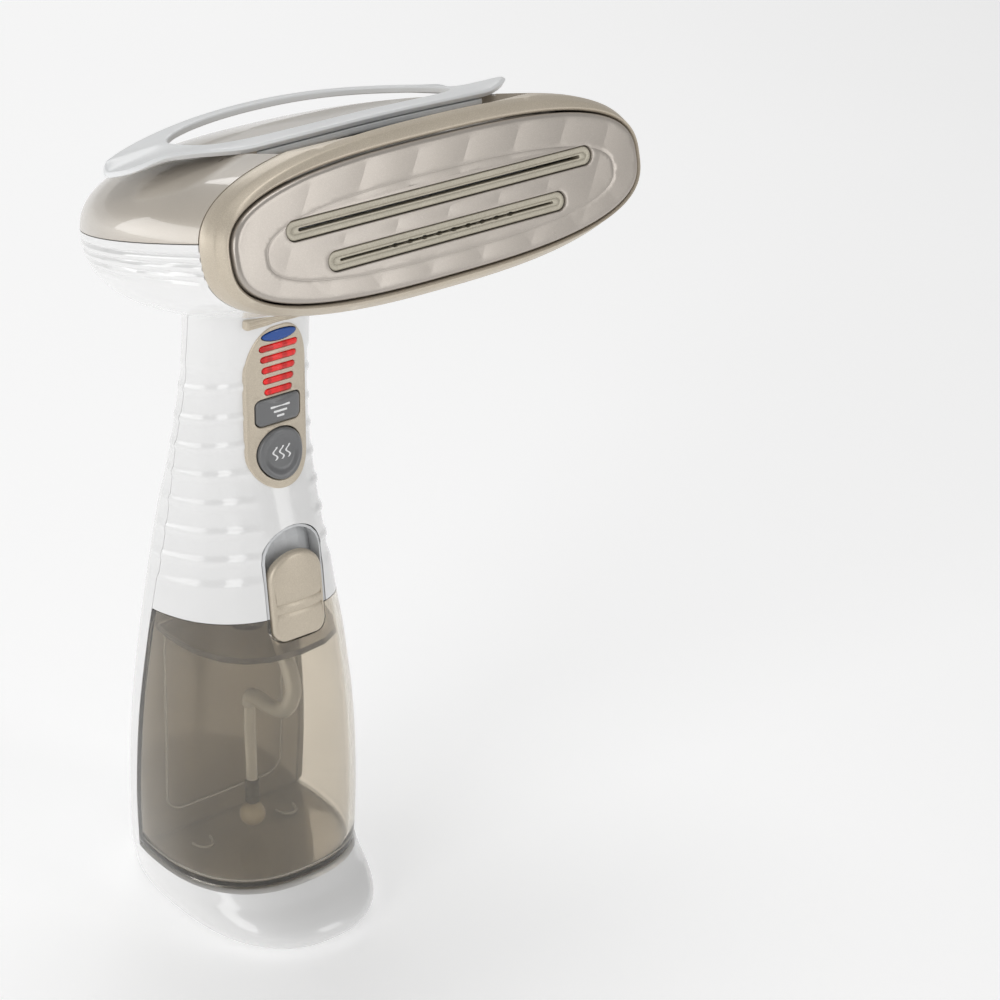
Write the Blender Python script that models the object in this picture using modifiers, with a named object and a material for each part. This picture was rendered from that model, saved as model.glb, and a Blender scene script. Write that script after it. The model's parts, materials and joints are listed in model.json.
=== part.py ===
"""Handheld garment steamer: steam head, slim grip, clear water tank and standing foot.

The origin is the middle of the pad that the steamer stands on, +Z is up and the soleplate faces -Y.
All sizes below are in millimetres and are turned into metres where a mesh is made.
"""

import math

import bmesh
import bpy
from mathutils import Vector

MM = 0.001
GAP = 0.3
WALL = 2.2

# Steam head. Its own frame has X across, S straight back from the soleplate and V up the plate.
PLATE_POINT = (0.0, -109.0, 286.0)
HEAD_TILT = 14.7
PLATE_HALF_WIDTH = 75.0
PLATE_TOP = 28.0
PLATE_BOTTOM = -13.0
PLATE_PROUD = 1.2
PLATE_BACK = 3.5
BEZEL_DEPTH = 11.0
HEAD_HALF_WIDTH = 79.0
HEAD_TOP = 34.8
HEAD_BOTTOM = -18.0
HEAD_DEPTH = 150.0
HEAD_SEAM = 12.8
HEAD_SEAM_DROP = 0.03
UPPER_SLOT = (57.0, 11.4)
LOWER_SLOT = (44.5, 0.0)
SLOT_HALF_HEIGHT = 3.1
INLET_V = 6.5

# Grip, tank bay and foot: height, half width, front and back of each level section.
FOOT_LEVELS = (
    (0.6, 31.5, -48.5, 48.5),
    (2.0, 33.8, -50.6, 50.0),
    (5.0, 35.2, -51.6, 50.5),
    (8.0, 35.8, -50.4, 50.3),
    (11.0, 36.3, -46.8, 49.8),
    (14.5, 36.8, -41.2, 49.0),
    (18.7, 37.2, -36.6, 47.3),
)
BODY_LEVELS = (
    (19.0, 37.2, -35.5, 47.2),
    (45.0, 38.0, -35.5, 45.0),
    (75.0, 36.5, -35.2, 43.0),
    (105.0, 32.3, -34.0, 40.5),
    (125.0, 28.6, -32.2, 38.6),
    (150.0, 24.5, -29.4, 34.6),
    (165.0, 23.2, -25.4, 29.0),
    (180.0, 22.6, -21.6, 24.0),
    (195.0, 21.6, -20.7, 20.2),
    (210.0, 21.0, -21.0, 17.0),
    (236.0, 20.5, -22.4, 15.6),
)
BODY_ROUND = 2.4
BODY_TOP = 236.0
DECK_TOP = 18.7
SEAM_LEVELS = ((0, 19.2), (25, 19.0), (60, 17.5), (116, 15.4), (140, 14.0), (167, 11.5),
               (200, 4.5), (225, 1.0), (250, -1.0))
RIB_HEIGHTS = (201.0, 189.6, 178.8, 168.0, 157.2, 146.6, 136.2)
RIB_HALF = 1.0
RIB_DEPTH = 1.1
TANK_FLOOR = 19.1
TANK_WALL = 2.0
LID_TOP = 110.8
LID_THICK = 2.2
# The tank meets the grip on a plane that rises towards the front.
JOIN_HEIGHT = 118.9
JOIN_SLOPE = -0.205

# Control panel and latch, on the front of the grip.
PANEL_HALF_WIDTH = 12.2
PANEL_BOTTOM = 169.5
PANEL_TOP = 227.5
SETTING_CENTRE = 196.9
SETTING_SIZE = (8.8, 4.7, 2.2)
STEAM_CENTRE = 181.6
STEAM_RADIUS = 8.8
FLANGE = 0.7
BAR_TOP = 220.0
BAR_PITCH = 3.95
BAR_HALF_WIDTHS = (7.4, 6.9, 6.4, 5.9, 5.3)
BAR_HALF_HEIGHT = 0.95
LENS_CENTRE = 224.2
LATCH_HALF_WIDTH = 10.8
LATCH_BOTTOM = 116.3
LATCH_TOP = 147.5
WELL_HALF_WIDTH = 12.0
WELL_TOP = 156.4
HOLD_DEPTH = 5.0
# Room round the latch in the tank's front wall.
NOTCH_ROOM = 0.9

# Attachment that rides on top of the head, in the head's frame.
RIDER_HALF_WIDTH = 68.5
RIDER_FRONT = 24.0
RIDER_MIDDLE = 72.0
RIDER_BACK = 95.0
RIDER_FRONT_ROUND = 2.9
RIDER_BACK_ROUND = 2.1
RIDER_WINDOW = (47.0, 35.5, 88.0)
RIDER_WINDOW_ROUND = 2.8
RIDER_FRONT_HEIGHT = 34.8
RIDER_RISE = 0.055
RIDER_LIFT = 4.5
RIDER_DROOP = 11.0
RIDER_BOW_FRONT = 3.5
RIDER_BOW_BACK = 7.5
RIDER_THICK = 2.2
# Half width, front and back of the soft pad under the front bar.
RIDER_PAD = (42.0, 23.9, 36.5)
# The cover is let in under the attachment's front bar.
DOCK_HALF_WIDTH = 47.0
DOCK_FLOOR = 26.6
DOCK_BACK = 50.5

# Where the tank's outlet meets the pump's inlet.
OUTLET_Y = -20.0
OUTLET_TOP = 115.2
PUMP_AXIS = (0.0, 12.0)
HOSE_ROUTE = ((0, -0.6, 74.0), (0, -0.3, 66), (0, -0.6, 54), (0, -0.8, 43.9))
UPPER_SCREW_HEIGHT = 222.5
LOWER_SCREW_HEIGHT = 121.5
SCREW_HEAD = 0.9
SEAT = 1.25
BASE_SCREW_X = 25.5
PAD_REACH = 44.8
GLAND_HEIGHT = 9.0

# Points round a level section that is seen, and round one that is hidden inside.
RING = 32
INNER_RING = 20
HEAD_RING = 36
SPRING_STEPS = 7


def smooth_between(levels, at, column):
    """Catmull-Rom value of a column of levels at a height."""
    last = len(levels) - 1
    if at <= levels[0][0]:
        return levels[0][column]
    if at >= levels[last][0]:
        return levels[last][column]
    k = max(i for i in range(last) if levels[i][0] <= at)
    before, low, high, after = (levels[min(max(k + d, 0), last)] for d in (-1, 0, 1, 2))
    span = high[0] - low[0]
    t = (at - low[0]) / span
    rise_low = (high[column] - before[column]) / max(high[0] - before[0], 1e-6) * span
    rise_high = (after[column] - low[column]) / max(after[0] - low[0], 1e-6) * span
    a, b = low[column], high[column]
    return ((2 * t**3 - 3 * t**2 + 1) * a + (t**3 - 2 * t**2 + t) * rise_low
            + (3 * t**2 - 2 * t**3) * b + (t**3 - t**2) * rise_high)


def signed_power(value, power):
    return math.copysign(abs(value) ** power, value)


def oval(half_x, low, high, middle, power, count=HEAD_RING):
    """Points of a rounded oval with its own half height above and below the middle."""
    points = []
    for i in range(count):
        turn = 2 * math.pi * i / count
        side, up = math.cos(turn), math.sin(turn)
        reach = high - middle if up > 0 else middle - low
        points.append((half_x * signed_power(side, 2 / power),
                       middle + reach * signed_power(up, 2 / power)))
    return points


def stadium(half_x, centre, half_height, segments=8):
    """A slot outline with round ends."""
    points = []
    for side in (1, -1):
        for i in range(segments + 1):
            turn = math.pi * (i / segments - 0.5)
            x = side * (half_x - half_height + half_height * math.cos(turn))
            points.append((x, centre + side * half_height * math.sin(turn)))
    return points


def rounded_box(half_x, half_y, centre, radius, segments=4):
    points = []
    for quarter in range(4):
        sx = 1 if quarter in (0, 3) else -1
        sy = 1 if quarter in (0, 1) else -1
        for i in range(segments + 1):
            turn = math.pi / 2 * (quarter + i / segments)
            points.append((sx * (half_x - radius) + radius * math.cos(turn),
                           centre + sy * (half_y - radius) + radius * math.sin(turn)))
    return points


def seam_y(z):
    """Where the back housing meets the front shell and the tank, at a height."""
    return smooth_between(SEAM_LEVELS, z, 1)


def join_z(y):
    return JOIN_HEIGHT + JOIN_SLOPE * y


def rib_inset(z, side):
    """How far the grip is let in between its ribs, at a height and a share of its half width."""
    if not RIB_HEIGHTS[-1] - 8.5 < z < RIB_HEIGHTS[0] + 8.5:
        return 0.0
    if min(abs(z - rib) for rib in RIB_HEIGHTS) < RIB_HALF + 0.05:
        return 0.0
    return RIB_DEPTH * min(max((side - 0.64) / 0.1, 0.0), 1.0)


def body_ring(z, grow=0.0, levels=BODY_LEVELS, ribbed=False, count=RING):
    half, front, back = (smooth_between(levels, z, column) for column in (1, 2, 3))
    half, front, back = half + grow, front - grow, back + grow
    points = []
    for x, y in oval(half, front, back, (front + back) / 2, BODY_ROUND, count):
        inset = rib_inset(z, abs(x) / half) if ribbed and y < seam_y(z) - 1.5 else 0.0
        shrink = 1 - inset / half
        points.append((x * shrink, (y - (front + back) / 2) * shrink + (front + back) / 2, z))
    return points


def dome(s, grow, start, end):
    """Share of full size left at depth s, falling from 1 to 0 at the back of the head."""
    t = max((s - BEZEL_DEPTH) / (HEAD_DEPTH + grow - BEZEL_DEPTH), 0.0)
    return max(1 - t**start, 0.0) ** (1 / end)


def head_shape(s, grow=0.0):
    """Half width, bottom, top and middle of the head at depth s."""
    middle = 8.0 - 4.0 * s / HEAD_DEPTH
    half = (HEAD_HALF_WIDTH + grow) * dome(s, grow, 2.3, 2.3)
    top = middle + (HEAD_TOP + grow - middle) * dome(s, grow, 3.0, 2.2)
    sink = 14.0 * (1 - math.exp(-((max(s - BEZEL_DEPTH, 0) / 62.0) ** 2)))
    bottom = middle + (HEAD_BOTTOM - grow - sink - middle) * dome(s, grow, 6.0, 2.0)
    return half, bottom, top, middle


def head_ring(s, grow=0.0, count=HEAD_RING):
    half, bottom, top, middle = head_shape(s, grow)
    belly = 2.6 - 0.7 * min(max((s - BEZEL_DEPTH) / 70.0, 0.0), 1.0)
    points = []
    for i in range(count):
        turn = 2 * math.pi * i / count
        side, up = math.cos(turn), math.sin(turn)
        power = 2.6 if up > 0 else belly
        reach = top - middle if up > 0 else middle - bottom
        points.append((half * signed_power(side, 2 / power), s,
                       middle + reach * signed_power(up, 2 / power)))
    return points


def clear_scene():
    for obj in list(bpy.data.objects):
        bpy.data.objects.remove(obj, do_unlink=True)


def new_collection(name, hidden=False):
    collection = bpy.data.collections.new(name)
    collection.hide_render = hidden
    bpy.context.scene.collection.children.link(collection)
    return collection


def material(name, colour, roughness, metallic=0.0, see_through=0.0):
    made = bpy.data.materials.new(name)
    made.use_nodes = True
    shader = made.node_tree.nodes["Principled BSDF"]
    shader.inputs["Base Color"].default_value = (*colour, 1.0)
    shader.inputs["Roughness"].default_value = roughness
    shader.inputs["Metallic"].default_value = metallic
    shader.inputs["Transmission Weight"].default_value = see_through
    return made


def add_object(name, bm, finish=None, parent=None, smooth=40.0):
    """Turns a bmesh in millimetres into an object, a cutter when it has no finish."""
    bmesh.ops.recalc_face_normals(bm, faces=bm.faces)
    bmesh.ops.scale(bm, vec=(MM, MM, MM), verts=bm.verts)
    mesh = bpy.data.meshes.new(name)
    bm.to_mesh(mesh)
    bm.free()
    mesh.shade_smooth()
    mesh.set_sharp_from_angle(angle=math.radians(smooth))
    obj = bpy.data.objects.new(name, mesh)
    if finish is None:
        CUTTERS.objects.link(obj)
        obj.hide_render = True
        obj.display_type = "WIRE"
    else:
        PARTS.objects.link(obj)
        mesh.materials.append(finish)
    obj.parent = parent
    return obj


def loft(name, rings, finish=None, parent=None, closed=False):
    """Skins matching rings of points. A closed loft joins its last ring to its first."""
    bm = bmesh.new()
    rows = [[bm.verts.new(point) for point in ring] for ring in rings]
    pairs = list(zip(rows, rows[1:]))
    if closed:
        pairs.append((rows[-1], rows[0]))
    for low, high in pairs:
        for i in range(len(low)):
            j = (i + 1) % len(low)
            bm.faces.new((low[i], low[j], high[j], high[i]))
    if not closed:
        bm.faces.new(rows[0])
        bm.faces.new(rows[-1])
    return add_object(name, bm, finish, parent)


def prism(name, outline, axis, start, end, finish=None, parent=None, bevel=0.0):
    """An outline in the other two axes, pushed along one axis from start to end."""
    bm = bmesh.new()
    place = {
        "X": lambda u, v: (start, u, v),
        "Y": lambda u, v: (u, start, v),
        "Z": lambda u, v: (u, v, start),
    }[axis]
    face = bm.faces.new([bm.verts.new(place(u, v)) for u, v in outline])
    pushed = bmesh.ops.extrude_face_region(bm, geom=[face])["geom"]
    moved = [item for item in pushed if isinstance(item, bmesh.types.BMVert)]
    step = {"X": (1, 0, 0), "Y": (0, 1, 0), "Z": (0, 0, 1)}[axis]
    bmesh.ops.translate(bm, vec=Vector(step) * (end - start), verts=moved)
    bmesh.ops.remove_doubles(bm, verts=bm.verts, dist=1e-4)
    obj = add_object(name, bm, finish, parent)
    if bevel:
        soften(obj, bevel)
    return obj


def cylinder(name, radius, start, end, finish=None, parent=None, segments=24, top_radius=None):
    """A round bar or cone between two points."""
    bm = bmesh.new()
    along = Vector(end) - Vector(start)
    bmesh.ops.create_cone(bm, cap_ends=True, segments=segments, radius1=radius,
                          radius2=radius if top_radius is None else top_radius,
                          depth=along.length)
    turn = Vector((0, 0, 1)).rotation_difference(along).to_matrix()
    bmesh.ops.rotate(bm, cent=(0, 0, 0), matrix=turn, verts=bm.verts)
    bmesh.ops.translate(bm, vec=(Vector(start) + Vector(end)) / 2, verts=bm.verts)
    return add_object(name, bm, finish, parent)


def block(name, low, high, finish=None, parent=None, bevel=0.0):
    bm = bmesh.new()
    bmesh.ops.create_cube(bm, size=1.0)
    low, high = Vector(low), Vector(high)
    bmesh.ops.scale(bm, vec=high - low, verts=bm.verts)
    bmesh.ops.translate(bm, vec=(low + high) / 2, verts=bm.verts)
    obj = add_object(name, bm, finish, parent)
    if bevel:
        soften(obj, bevel)
    return obj


def turned(name, profile, centre, finish, steps=28, parent=None):
    """A turned piece about +Z: profile points are (radius, height), outer side from top to bottom."""
    bm = bmesh.new()
    points = [bm.verts.new((r, 0, z)) for r, z in profile]
    for a, b in zip(points, points[1:] + points[:1]):
        bm.edges.new((a, b))
    bmesh.ops.scale(bm, vec=(MM, MM, MM), verts=bm.verts)
    mesh = bpy.data.meshes.new(name)
    bm.to_mesh(mesh)
    bm.free()
    mesh.materials.append(finish)
    obj = bpy.data.objects.new(name, mesh)
    PARTS.objects.link(obj)
    obj.location = Vector(centre) * MM
    obj.parent = parent
    screw = obj.modifiers.new("Turn", "SCREW")
    screw.steps = screw.render_steps = steps
    screw.use_merge_vertices = True
    screw.merge_threshold = 0.00001
    screw.use_smooth_shade = True
    return obj


def tube(name, points, radius, finish, resolution=2, parent=None):
    """A round wire or hose through points in millimetres."""
    curve = bpy.data.curves.new(name, "CURVE")
    curve.dimensions = "3D"
    curve.bevel_depth = radius * MM
    curve.bevel_resolution = resolution
    curve.use_fill_caps = True
    spline = curve.splines.new("POLY")
    spline.points.add(len(points) - 1)
    for point, place in zip(spline.points, points):
        point.co = (*(Vector(place) * MM), 1.0)
    curve.materials.append(finish)
    obj = bpy.data.objects.new(name, curve)
    PARTS.objects.link(obj)
    obj.parent = parent
    return obj


def smooth_route(points, step):
    """Points about one step apart on a Catmull-Rom curve through the given points."""
    points = [Vector(p) for p in points]
    padded = [2 * points[0] - points[1], *points, 2 * points[-1] - points[-2]]
    route = [points[0]]
    for a, b, c, d in zip(padded, padded[1:], padded[2:], padded[3:]):
        count = max(round((c - b).length / step), 1)
        for i in range(1, count + 1):
            t = i / count
            route.append(0.5 * (2 * b + (c - a) * t + (2 * a - 5 * b + 4 * c - d) * t**2
                                + (3 * b - a - 3 * c + d) * t**3))
    return route


def soften(obj, width, segments=2):
    bevel = obj.modifiers.new("Soft edges", "BEVEL")
    bevel.width = width * MM
    bevel.segments = segments
    bevel.limit_method = "ANGLE"
    bevel.angle_limit = math.radians(50)


def combine(obj, other, operation):
    step = obj.modifiers.new(operation.title(), "BOOLEAN")
    step.operation = operation
    step.object = other
    step.solver = "EXACT"


def cut(obj, *cutters):
    for cutter in cutters:
        combine(obj, cutter, "DIFFERENCE")


def keep(obj, region):
    combine(obj, region, "INTERSECT")


def front_of_seam(name, shift, low=-20.0):
    """The region in front of the back housing's seam, as a prism across the body."""
    heights = [low] + [z for z, _ in SEAM_LEVELS if z > low + 5]
    side = [(seam_y(z) + shift, z) for z in heights]
    return prism(name, [(-95, low), *side, (-95, SEAM_LEVELS[-1][0])], "X", -60, 60)


def above_join(name, shift):
    ends = [(y, join_z(y) + shift) for y in (-90, 90)]
    return prism(name, [*ends, (90, 260), (-90, 260)], "X", -60, 60)


def below_join(name, shift):
    ends = [(y, join_z(y) + shift) for y in (-90, 90)]
    return prism(name, [(-90, -20), (90, -20), *reversed(ends)], "X", -60, 60)


def body_skin(name, low, high, grow, count=RING):
    """A plain solid that follows the grip's surface past two heights, moved out by grow."""
    listed = [z for z, *_ in BODY_LEVELS]
    below = [z for z in listed if z <= low][-1:] or [low]
    above = [z for z in listed if z >= high][:1] or [high]
    heights = below + [z for z in listed if low < z < high] + above
    return loft(name, [body_ring(z, grow, count=count) for z in heights])


def on_surface(name, outline, outer, inner, low, high, finish):
    """A plate with the outline seen from the front, lying on the grip between two offsets."""
    plate = prism(name, outline, "Y", -60, -8, finish)
    keep(plate, body_skin(name + "_outer", low, high, outer))
    cut(plate, body_skin(name + "_inner", low - 2, high + 2, inner))
    return plate


def panel_outline(shift=0.0):
    """Control panel seen from the front: a round bottom and softly cut top corners."""
    half = PANEL_HALF_WIDTH + shift
    low = PANEL_BOTTOM + PANEL_HALF_WIDTH
    points = []
    for i in range(13):
        turn = math.pi * (1 + i / 12)
        points.append((half * math.cos(turn), low + half * math.sin(turn)))
    for side in (1, -1):
        corner = []
        for i in range(6):
            turn = math.pi / 2 * i / 5
            corner.append((side * (half - 8 + 8 * math.cos(turn)),
                           PANEL_TOP + shift - 12 + 12 * math.sin(turn)))
        points += corner if side == 1 else corner[::-1]
    return points


def latch_outline(half, low, high, top_round, corner=4.5):
    """Latch or well seen from the front: small bottom corners and an arched top."""
    points = []
    for side in (-1, 1):
        arc = []
        for i in range(5):
            turn = math.pi / 2 * i / 4
            arc.append((side * (half - corner + corner * math.cos(turn)),
                        low + corner - corner * math.sin(turn)))
        points += arc if side == -1 else arc[::-1]
    for i in range(13):
        turn = math.pi * i / 12
        points.append((half * math.cos(turn), high - top_round + top_round * math.sin(turn)))
    return points


def leaf_outline(half_x, half_z, centre, count=7):
    points = []
    for side in (1, -1):
        for i in range(count):
            t = i / count
            x = side * half_x * math.cos(math.pi * t)
            points.append((x, centre + side * half_z * math.sin(math.pi * t)))
    return points


def plate_outline(grow=0.0, count=HEAD_RING):
    return oval(PLATE_HALF_WIDTH + grow, PLATE_BOTTOM - grow, PLATE_TOP + grow,
                (PLATE_TOP + PLATE_BOTTOM) / 2, 2.8, count)


def bezel_outline(grow=0.0, count=HEAD_RING):
    return oval(HEAD_HALF_WIDTH + grow, HEAD_BOTTOM - grow, HEAD_TOP + grow,
                head_shape(BEZEL_DEPTH)[3], 2.6, count)


def at_depth(outline, s):
    return [(x, s, v) for x, v in outline]


def make_soleplate(head):
    steps = ((PLATE_BACK, 0.0), (0.6, 0.0), (-0.4, -0.35), (-PLATE_PROUD + 0.1, -1.2),
             (-PLATE_PROUD, -2.2))
    plate = loft("soleplate", [at_depth(plate_outline(g), s) for s, g in steps], PEARL, head)
    for label, (half, centre) in (("upper", UPPER_SLOT), ("lower", LOWER_SLOT)):
        outline = stadium(half, centre, SLOT_HALF_HEIGHT)
        cut(plate, prism(label + "_slot_cut", outline, "Y", -9, 9, parent=head))


def make_inserts(head):
    for label, (half, centre) in (("upper", UPPER_SLOT), ("lower", LOWER_SLOT)):
        outline = stadium(half - GAP, centre, SLOT_HALF_HEIGHT - GAP)
        insert = prism(label + "_steam_insert", outline, "Y", -PLATE_PROUD + 0.8, PLATE_BACK - 0.2,
                       INSERT, head)
        slit = stadium(half - 4.6, centre, 0.45, 3)
        cut(insert, prism(label + "_slit_cut", slit, "Y", -9, 9, parent=head))


def make_bezel(head):
    rings = [at_depth(bezel_outline(), BEZEL_DEPTH), at_depth(bezel_outline(-0.7), 4.0),
             at_depth(bezel_outline(-2.3), 0.9), at_depth(plate_outline(1.4), -0.2),
             at_depth(plate_outline(0.6), 0.5), at_depth(plate_outline(0.5), 4.4),
             at_depth(bezel_outline(-3.2), 4.8), at_depth(bezel_outline(-2.3), BEZEL_DEPTH)]
    bezel = loft("bezel", rings, GOLD, head, closed=True)
    cut(bezel, block("bezel_notch_cut", (-46, 3.2, 32.0), (46, 16, 50), parent=head))


def make_gasket(head):
    front, back = PLATE_BACK + GAP, PLATE_BACK + GAP + 1.6
    rings = [at_depth(plate_outline(-0.6), front), at_depth(plate_outline(-5.5), front),
             at_depth(plate_outline(-5.5), back), at_depth(plate_outline(-0.6), back)]
    loft("plate_gasket", rings, RUBBER, head, closed=True)


def boiler_outline(grow=0.0):
    return oval(64.0 + grow, -7.0 - grow, 20.0 + grow, 6.5, 3.2, 28)


def make_boiler(head):
    """Cast steam chamber: open towards the plate's slots, with a boss for the water inlet."""
    boiler = prism("boiler", boiler_outline(), "Y", 5.9, 18.0, CAST, head)
    cut(boiler, prism("boiler_chamber_cut", boiler_outline(-3.5), "Y", 3, 14.5, parent=head))
    cut(boiler, cylinder("boiler_inlet_cut", 1.6, (0, 12, INLET_V), (0, 22, INLET_V), parent=head,
                         segments=16))
    prism("boiler_cover", boiler_outline(-2.0), "Y", 18.3, 19.8, STEEL, head)
    cut(bpy.data.objects["boiler_cover"],
        cylinder("cover_inlet_cut", 2.6, (0, 17, INLET_V), (0, 22, INLET_V), parent=head,
                 segments=16))


def make_heater(head):
    """Sheathed element bent into a long U behind the boiler, its terminals pointing back."""
    half, low, high, depth = 46.0, -1.5, 14.5, 23.2
    middle, bend = (low + high) / 2, (high - low) / 2
    points = [(-half + 8, depth + 9, high), (-half + 8, depth + 3, high)]
    points += [(-half + 11, depth, high), (half - bend, depth, high)]
    for i in range(1, 8):
        turn = math.pi / 2 - math.pi * i / 8
        points.append((half - bend + bend * math.cos(turn), depth, middle + bend * math.sin(turn)))
    points += [(half - bend, depth, low), (-half + 11, depth, low)]
    points += [(-half + 8, depth + 3, low), (-half + 8, depth + 9, low)]
    tube("heating_element", points, 3.0, STEEL, parent=head)
    cylinder("thermostat", 4.4, (-20, 20.1, INLET_V), (-20, 27, INLET_V), CERAMIC, head)
    cylinder("thermal_fuse", 2.0, (18, 22.4, INLET_V), (31, 22.4, INLET_V), STEEL, head,
             segments=14)


def make_heat_shield(head):
    shield = prism("heat_shield", boiler_outline(4.0), "Y", 34.5, 35.5, STEEL, head)
    for label, x, v, radius in (("tube", 0, INLET_V, 5.0), ("lead", -38, INLET_V, 4.5)):
        cut(shield, cylinder("shield_" + label + "_cut", radius, (x, 33, v), (x, 37, v),
                             parent=head))


def head_seam_region(name, shift, above, head):
    """Everything above, or below, the seam between the head's cover and its lower shell."""
    ends = [(s, HEAD_SEAM - HEAD_SEAM_DROP * s + shift) for s in (-10, 170)]
    far = 90 if above else -90
    return prism(name, [*ends, (170, far), (-10, far)], "X", -100, 100, parent=head)


def head_blank(name, depths, grow, finish, head, count=HEAD_RING):
    rings = [head_ring(s, grow, count) for s in depths]
    rings.append(head_ring(HEAD_DEPTH + grow - 1.0, grow, count))
    return loft(name, rings, finish, head)


def make_head_shells(head):
    depths = (BEZEL_DEPTH + GAP, 30, 50, 72, 92, 110, 124, 135, 143)
    cover = head_blank("head_cover", depths, 0.0, CHAMPAGNE, head)
    keep(cover, head_seam_region("cover_region", GAP / 2, True, head))
    shell = head_blank("head_lower_shell", depths, 0.0, WHITE, head)
    keep(shell, head_seam_region("shell_region", -GAP / 2, False, head))
    hollow = head_blank("head_hollow_cut", (5.0, 40, 75, 105, 128), -WALL, None, head, 28)
    cut(shell, hollow, body_skin("neck_hole_cut", 205, 262, GAP))
    under = head_blank("cover_hollow_cut", (5.0, 40, 75, 105, 128), -WALL, None, head, 28)
    cut(under, block("dock_floor_keep", (-60, 0, DOCK_FLOOR - 1.8), (60, DOCK_BACK + 2, 50),
                     parent=head))
    dock = rounded_box(DOCK_HALF_WIDTH, (DOCK_BACK + 10) / 2, (DOCK_BACK - 10) / 2, 3.0, 3)
    rider = [rider_edge(-1.0, drop) for drop in (-6.0, RIDER_THICK + 0.4)]
    cut(cover, under, prism("dock_cut", dock, "Z", DOCK_FLOOR, 60, parent=head),
        loft("rider_space_cut", rider, parent=head))


def ease(low, high, value):
    t = min(max((value - low) / (high - low), 0.0), 1.0)
    return t * t * (3 - 2 * t)


def rider_height(x, s):
    """Top of the attachment: raised beside the bezel's shoulders and bowed down to its ends."""
    back = (s - RIDER_FRONT) / (RIDER_BACK - RIDER_FRONT)
    lift = RIDER_LIFT * ease(43, 69, abs(x)) * max(1 - 1.2 * back, 0.0)
    bow = RIDER_BOW_FRONT * (1 - back) + RIDER_BOW_BACK * back
    droop = RIDER_DROOP * ease(63, 79, abs(x)) + bow * (x / RIDER_HALF_WIDTH) ** 2
    return RIDER_FRONT_HEIGHT + RIDER_RISE * (s - RIDER_FRONT) + lift - droop


def rider_edge(inset, drop, count=HEAD_RING):
    """Outer edge of the attachment, squarer in front than behind."""
    points = []
    for i in range(count):
        turn = 2 * math.pi * i / count
        side, up = math.cos(turn), math.sin(turn)
        power = 2 / (RIDER_BACK_ROUND if up > 0 else RIDER_FRONT_ROUND)
        reach = RIDER_BACK - RIDER_MIDDLE if up > 0 else RIDER_MIDDLE - RIDER_FRONT
        x = (RIDER_HALF_WIDTH - inset) * signed_power(side, power)
        s = RIDER_MIDDLE + (reach - inset) * signed_power(up, power)
        points.append((x, s, rider_height(x, s) - drop))
    return points


def rider_ring(half, front, back, power, drop, count=HEAD_RING):
    outline = oval(half, front, back, (front + back) / 2, power, count)
    return [(x, s, rider_height(x, s) - drop) for x, s in outline]


def make_attachment(head):
    """Fabric guide frame that clips over the head, with its soft pad and its front clip."""
    low = RIDER_THICK
    rings = [rider_edge(0.0, 0.7), rider_edge(0.9, 0.0),
             rider_ring(*RIDER_WINDOW, RIDER_WINDOW_ROUND, 0.0),
             rider_ring(*RIDER_WINDOW, RIDER_WINDOW_ROUND, low), rider_edge(1.0, low)]
    loft("attachment_frame", rings, FRAME_GREY, head, closed=True)
    half, front, back = RIDER_PAD
    pad = [rider_ring(half, front, back, 2.0, low + GAP, 28),
           rider_ring(half, front, back, 2.0, low + 1.6, 28),
           rider_ring(half - 2.0, front + 1.0, back - 1.0, 2.0, low + 2.2, 28)]
    loft("attachment_pad", pad, PAD_GREY, head)
    clip = [(15.0, 27.0), (31.6, 27.0), (31.6, 29.9), (17.0, 29.9), (15.0, 29.0)]
    prism("attachment_clip", clip, "X", -14, 14, DARK_GREY, head)


def make_collar():
    outline = [(-12.8, 228.2), (12.8, 228.2), (12.8, 231.4), (-12.8, 231.4)]
    on_surface("neck_collar", outline, 1.5, 0.3, 228, 232, GOLD)


def window_cutters():
    """Openings for the buttons and the lens, then the five slots for the light bars."""
    setting = rounded_box(SETTING_SIZE[0] + 0.35, SETTING_SIZE[1] + 0.35, SETTING_CENTRE, 2.5)
    lens = leaf_outline(7.0, 2.1, LENS_CENTRE)
    shared = [prism("setting_window_cut", setting, "Y", -60, -6),
              cylinder("steam_window_cut", STEAM_RADIUS + 0.35, (0, -60, STEAM_CENTRE),
                       (0, -6, STEAM_CENTRE), segments=28),
              prism("lens_window_cut", lens, "Y", -60, -6)]
    slots = []
    for i, half in enumerate(BAR_HALF_WIDTHS):
        slot = stadium(half + 0.25, BAR_TOP - BAR_PITCH * i, BAR_HALF_HEIGHT + 0.25, 3)
        slots.append(prism("bar_window_cut_%d" % (i + 1), slot, "Y", -60, -6))
    return shared, slots


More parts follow.
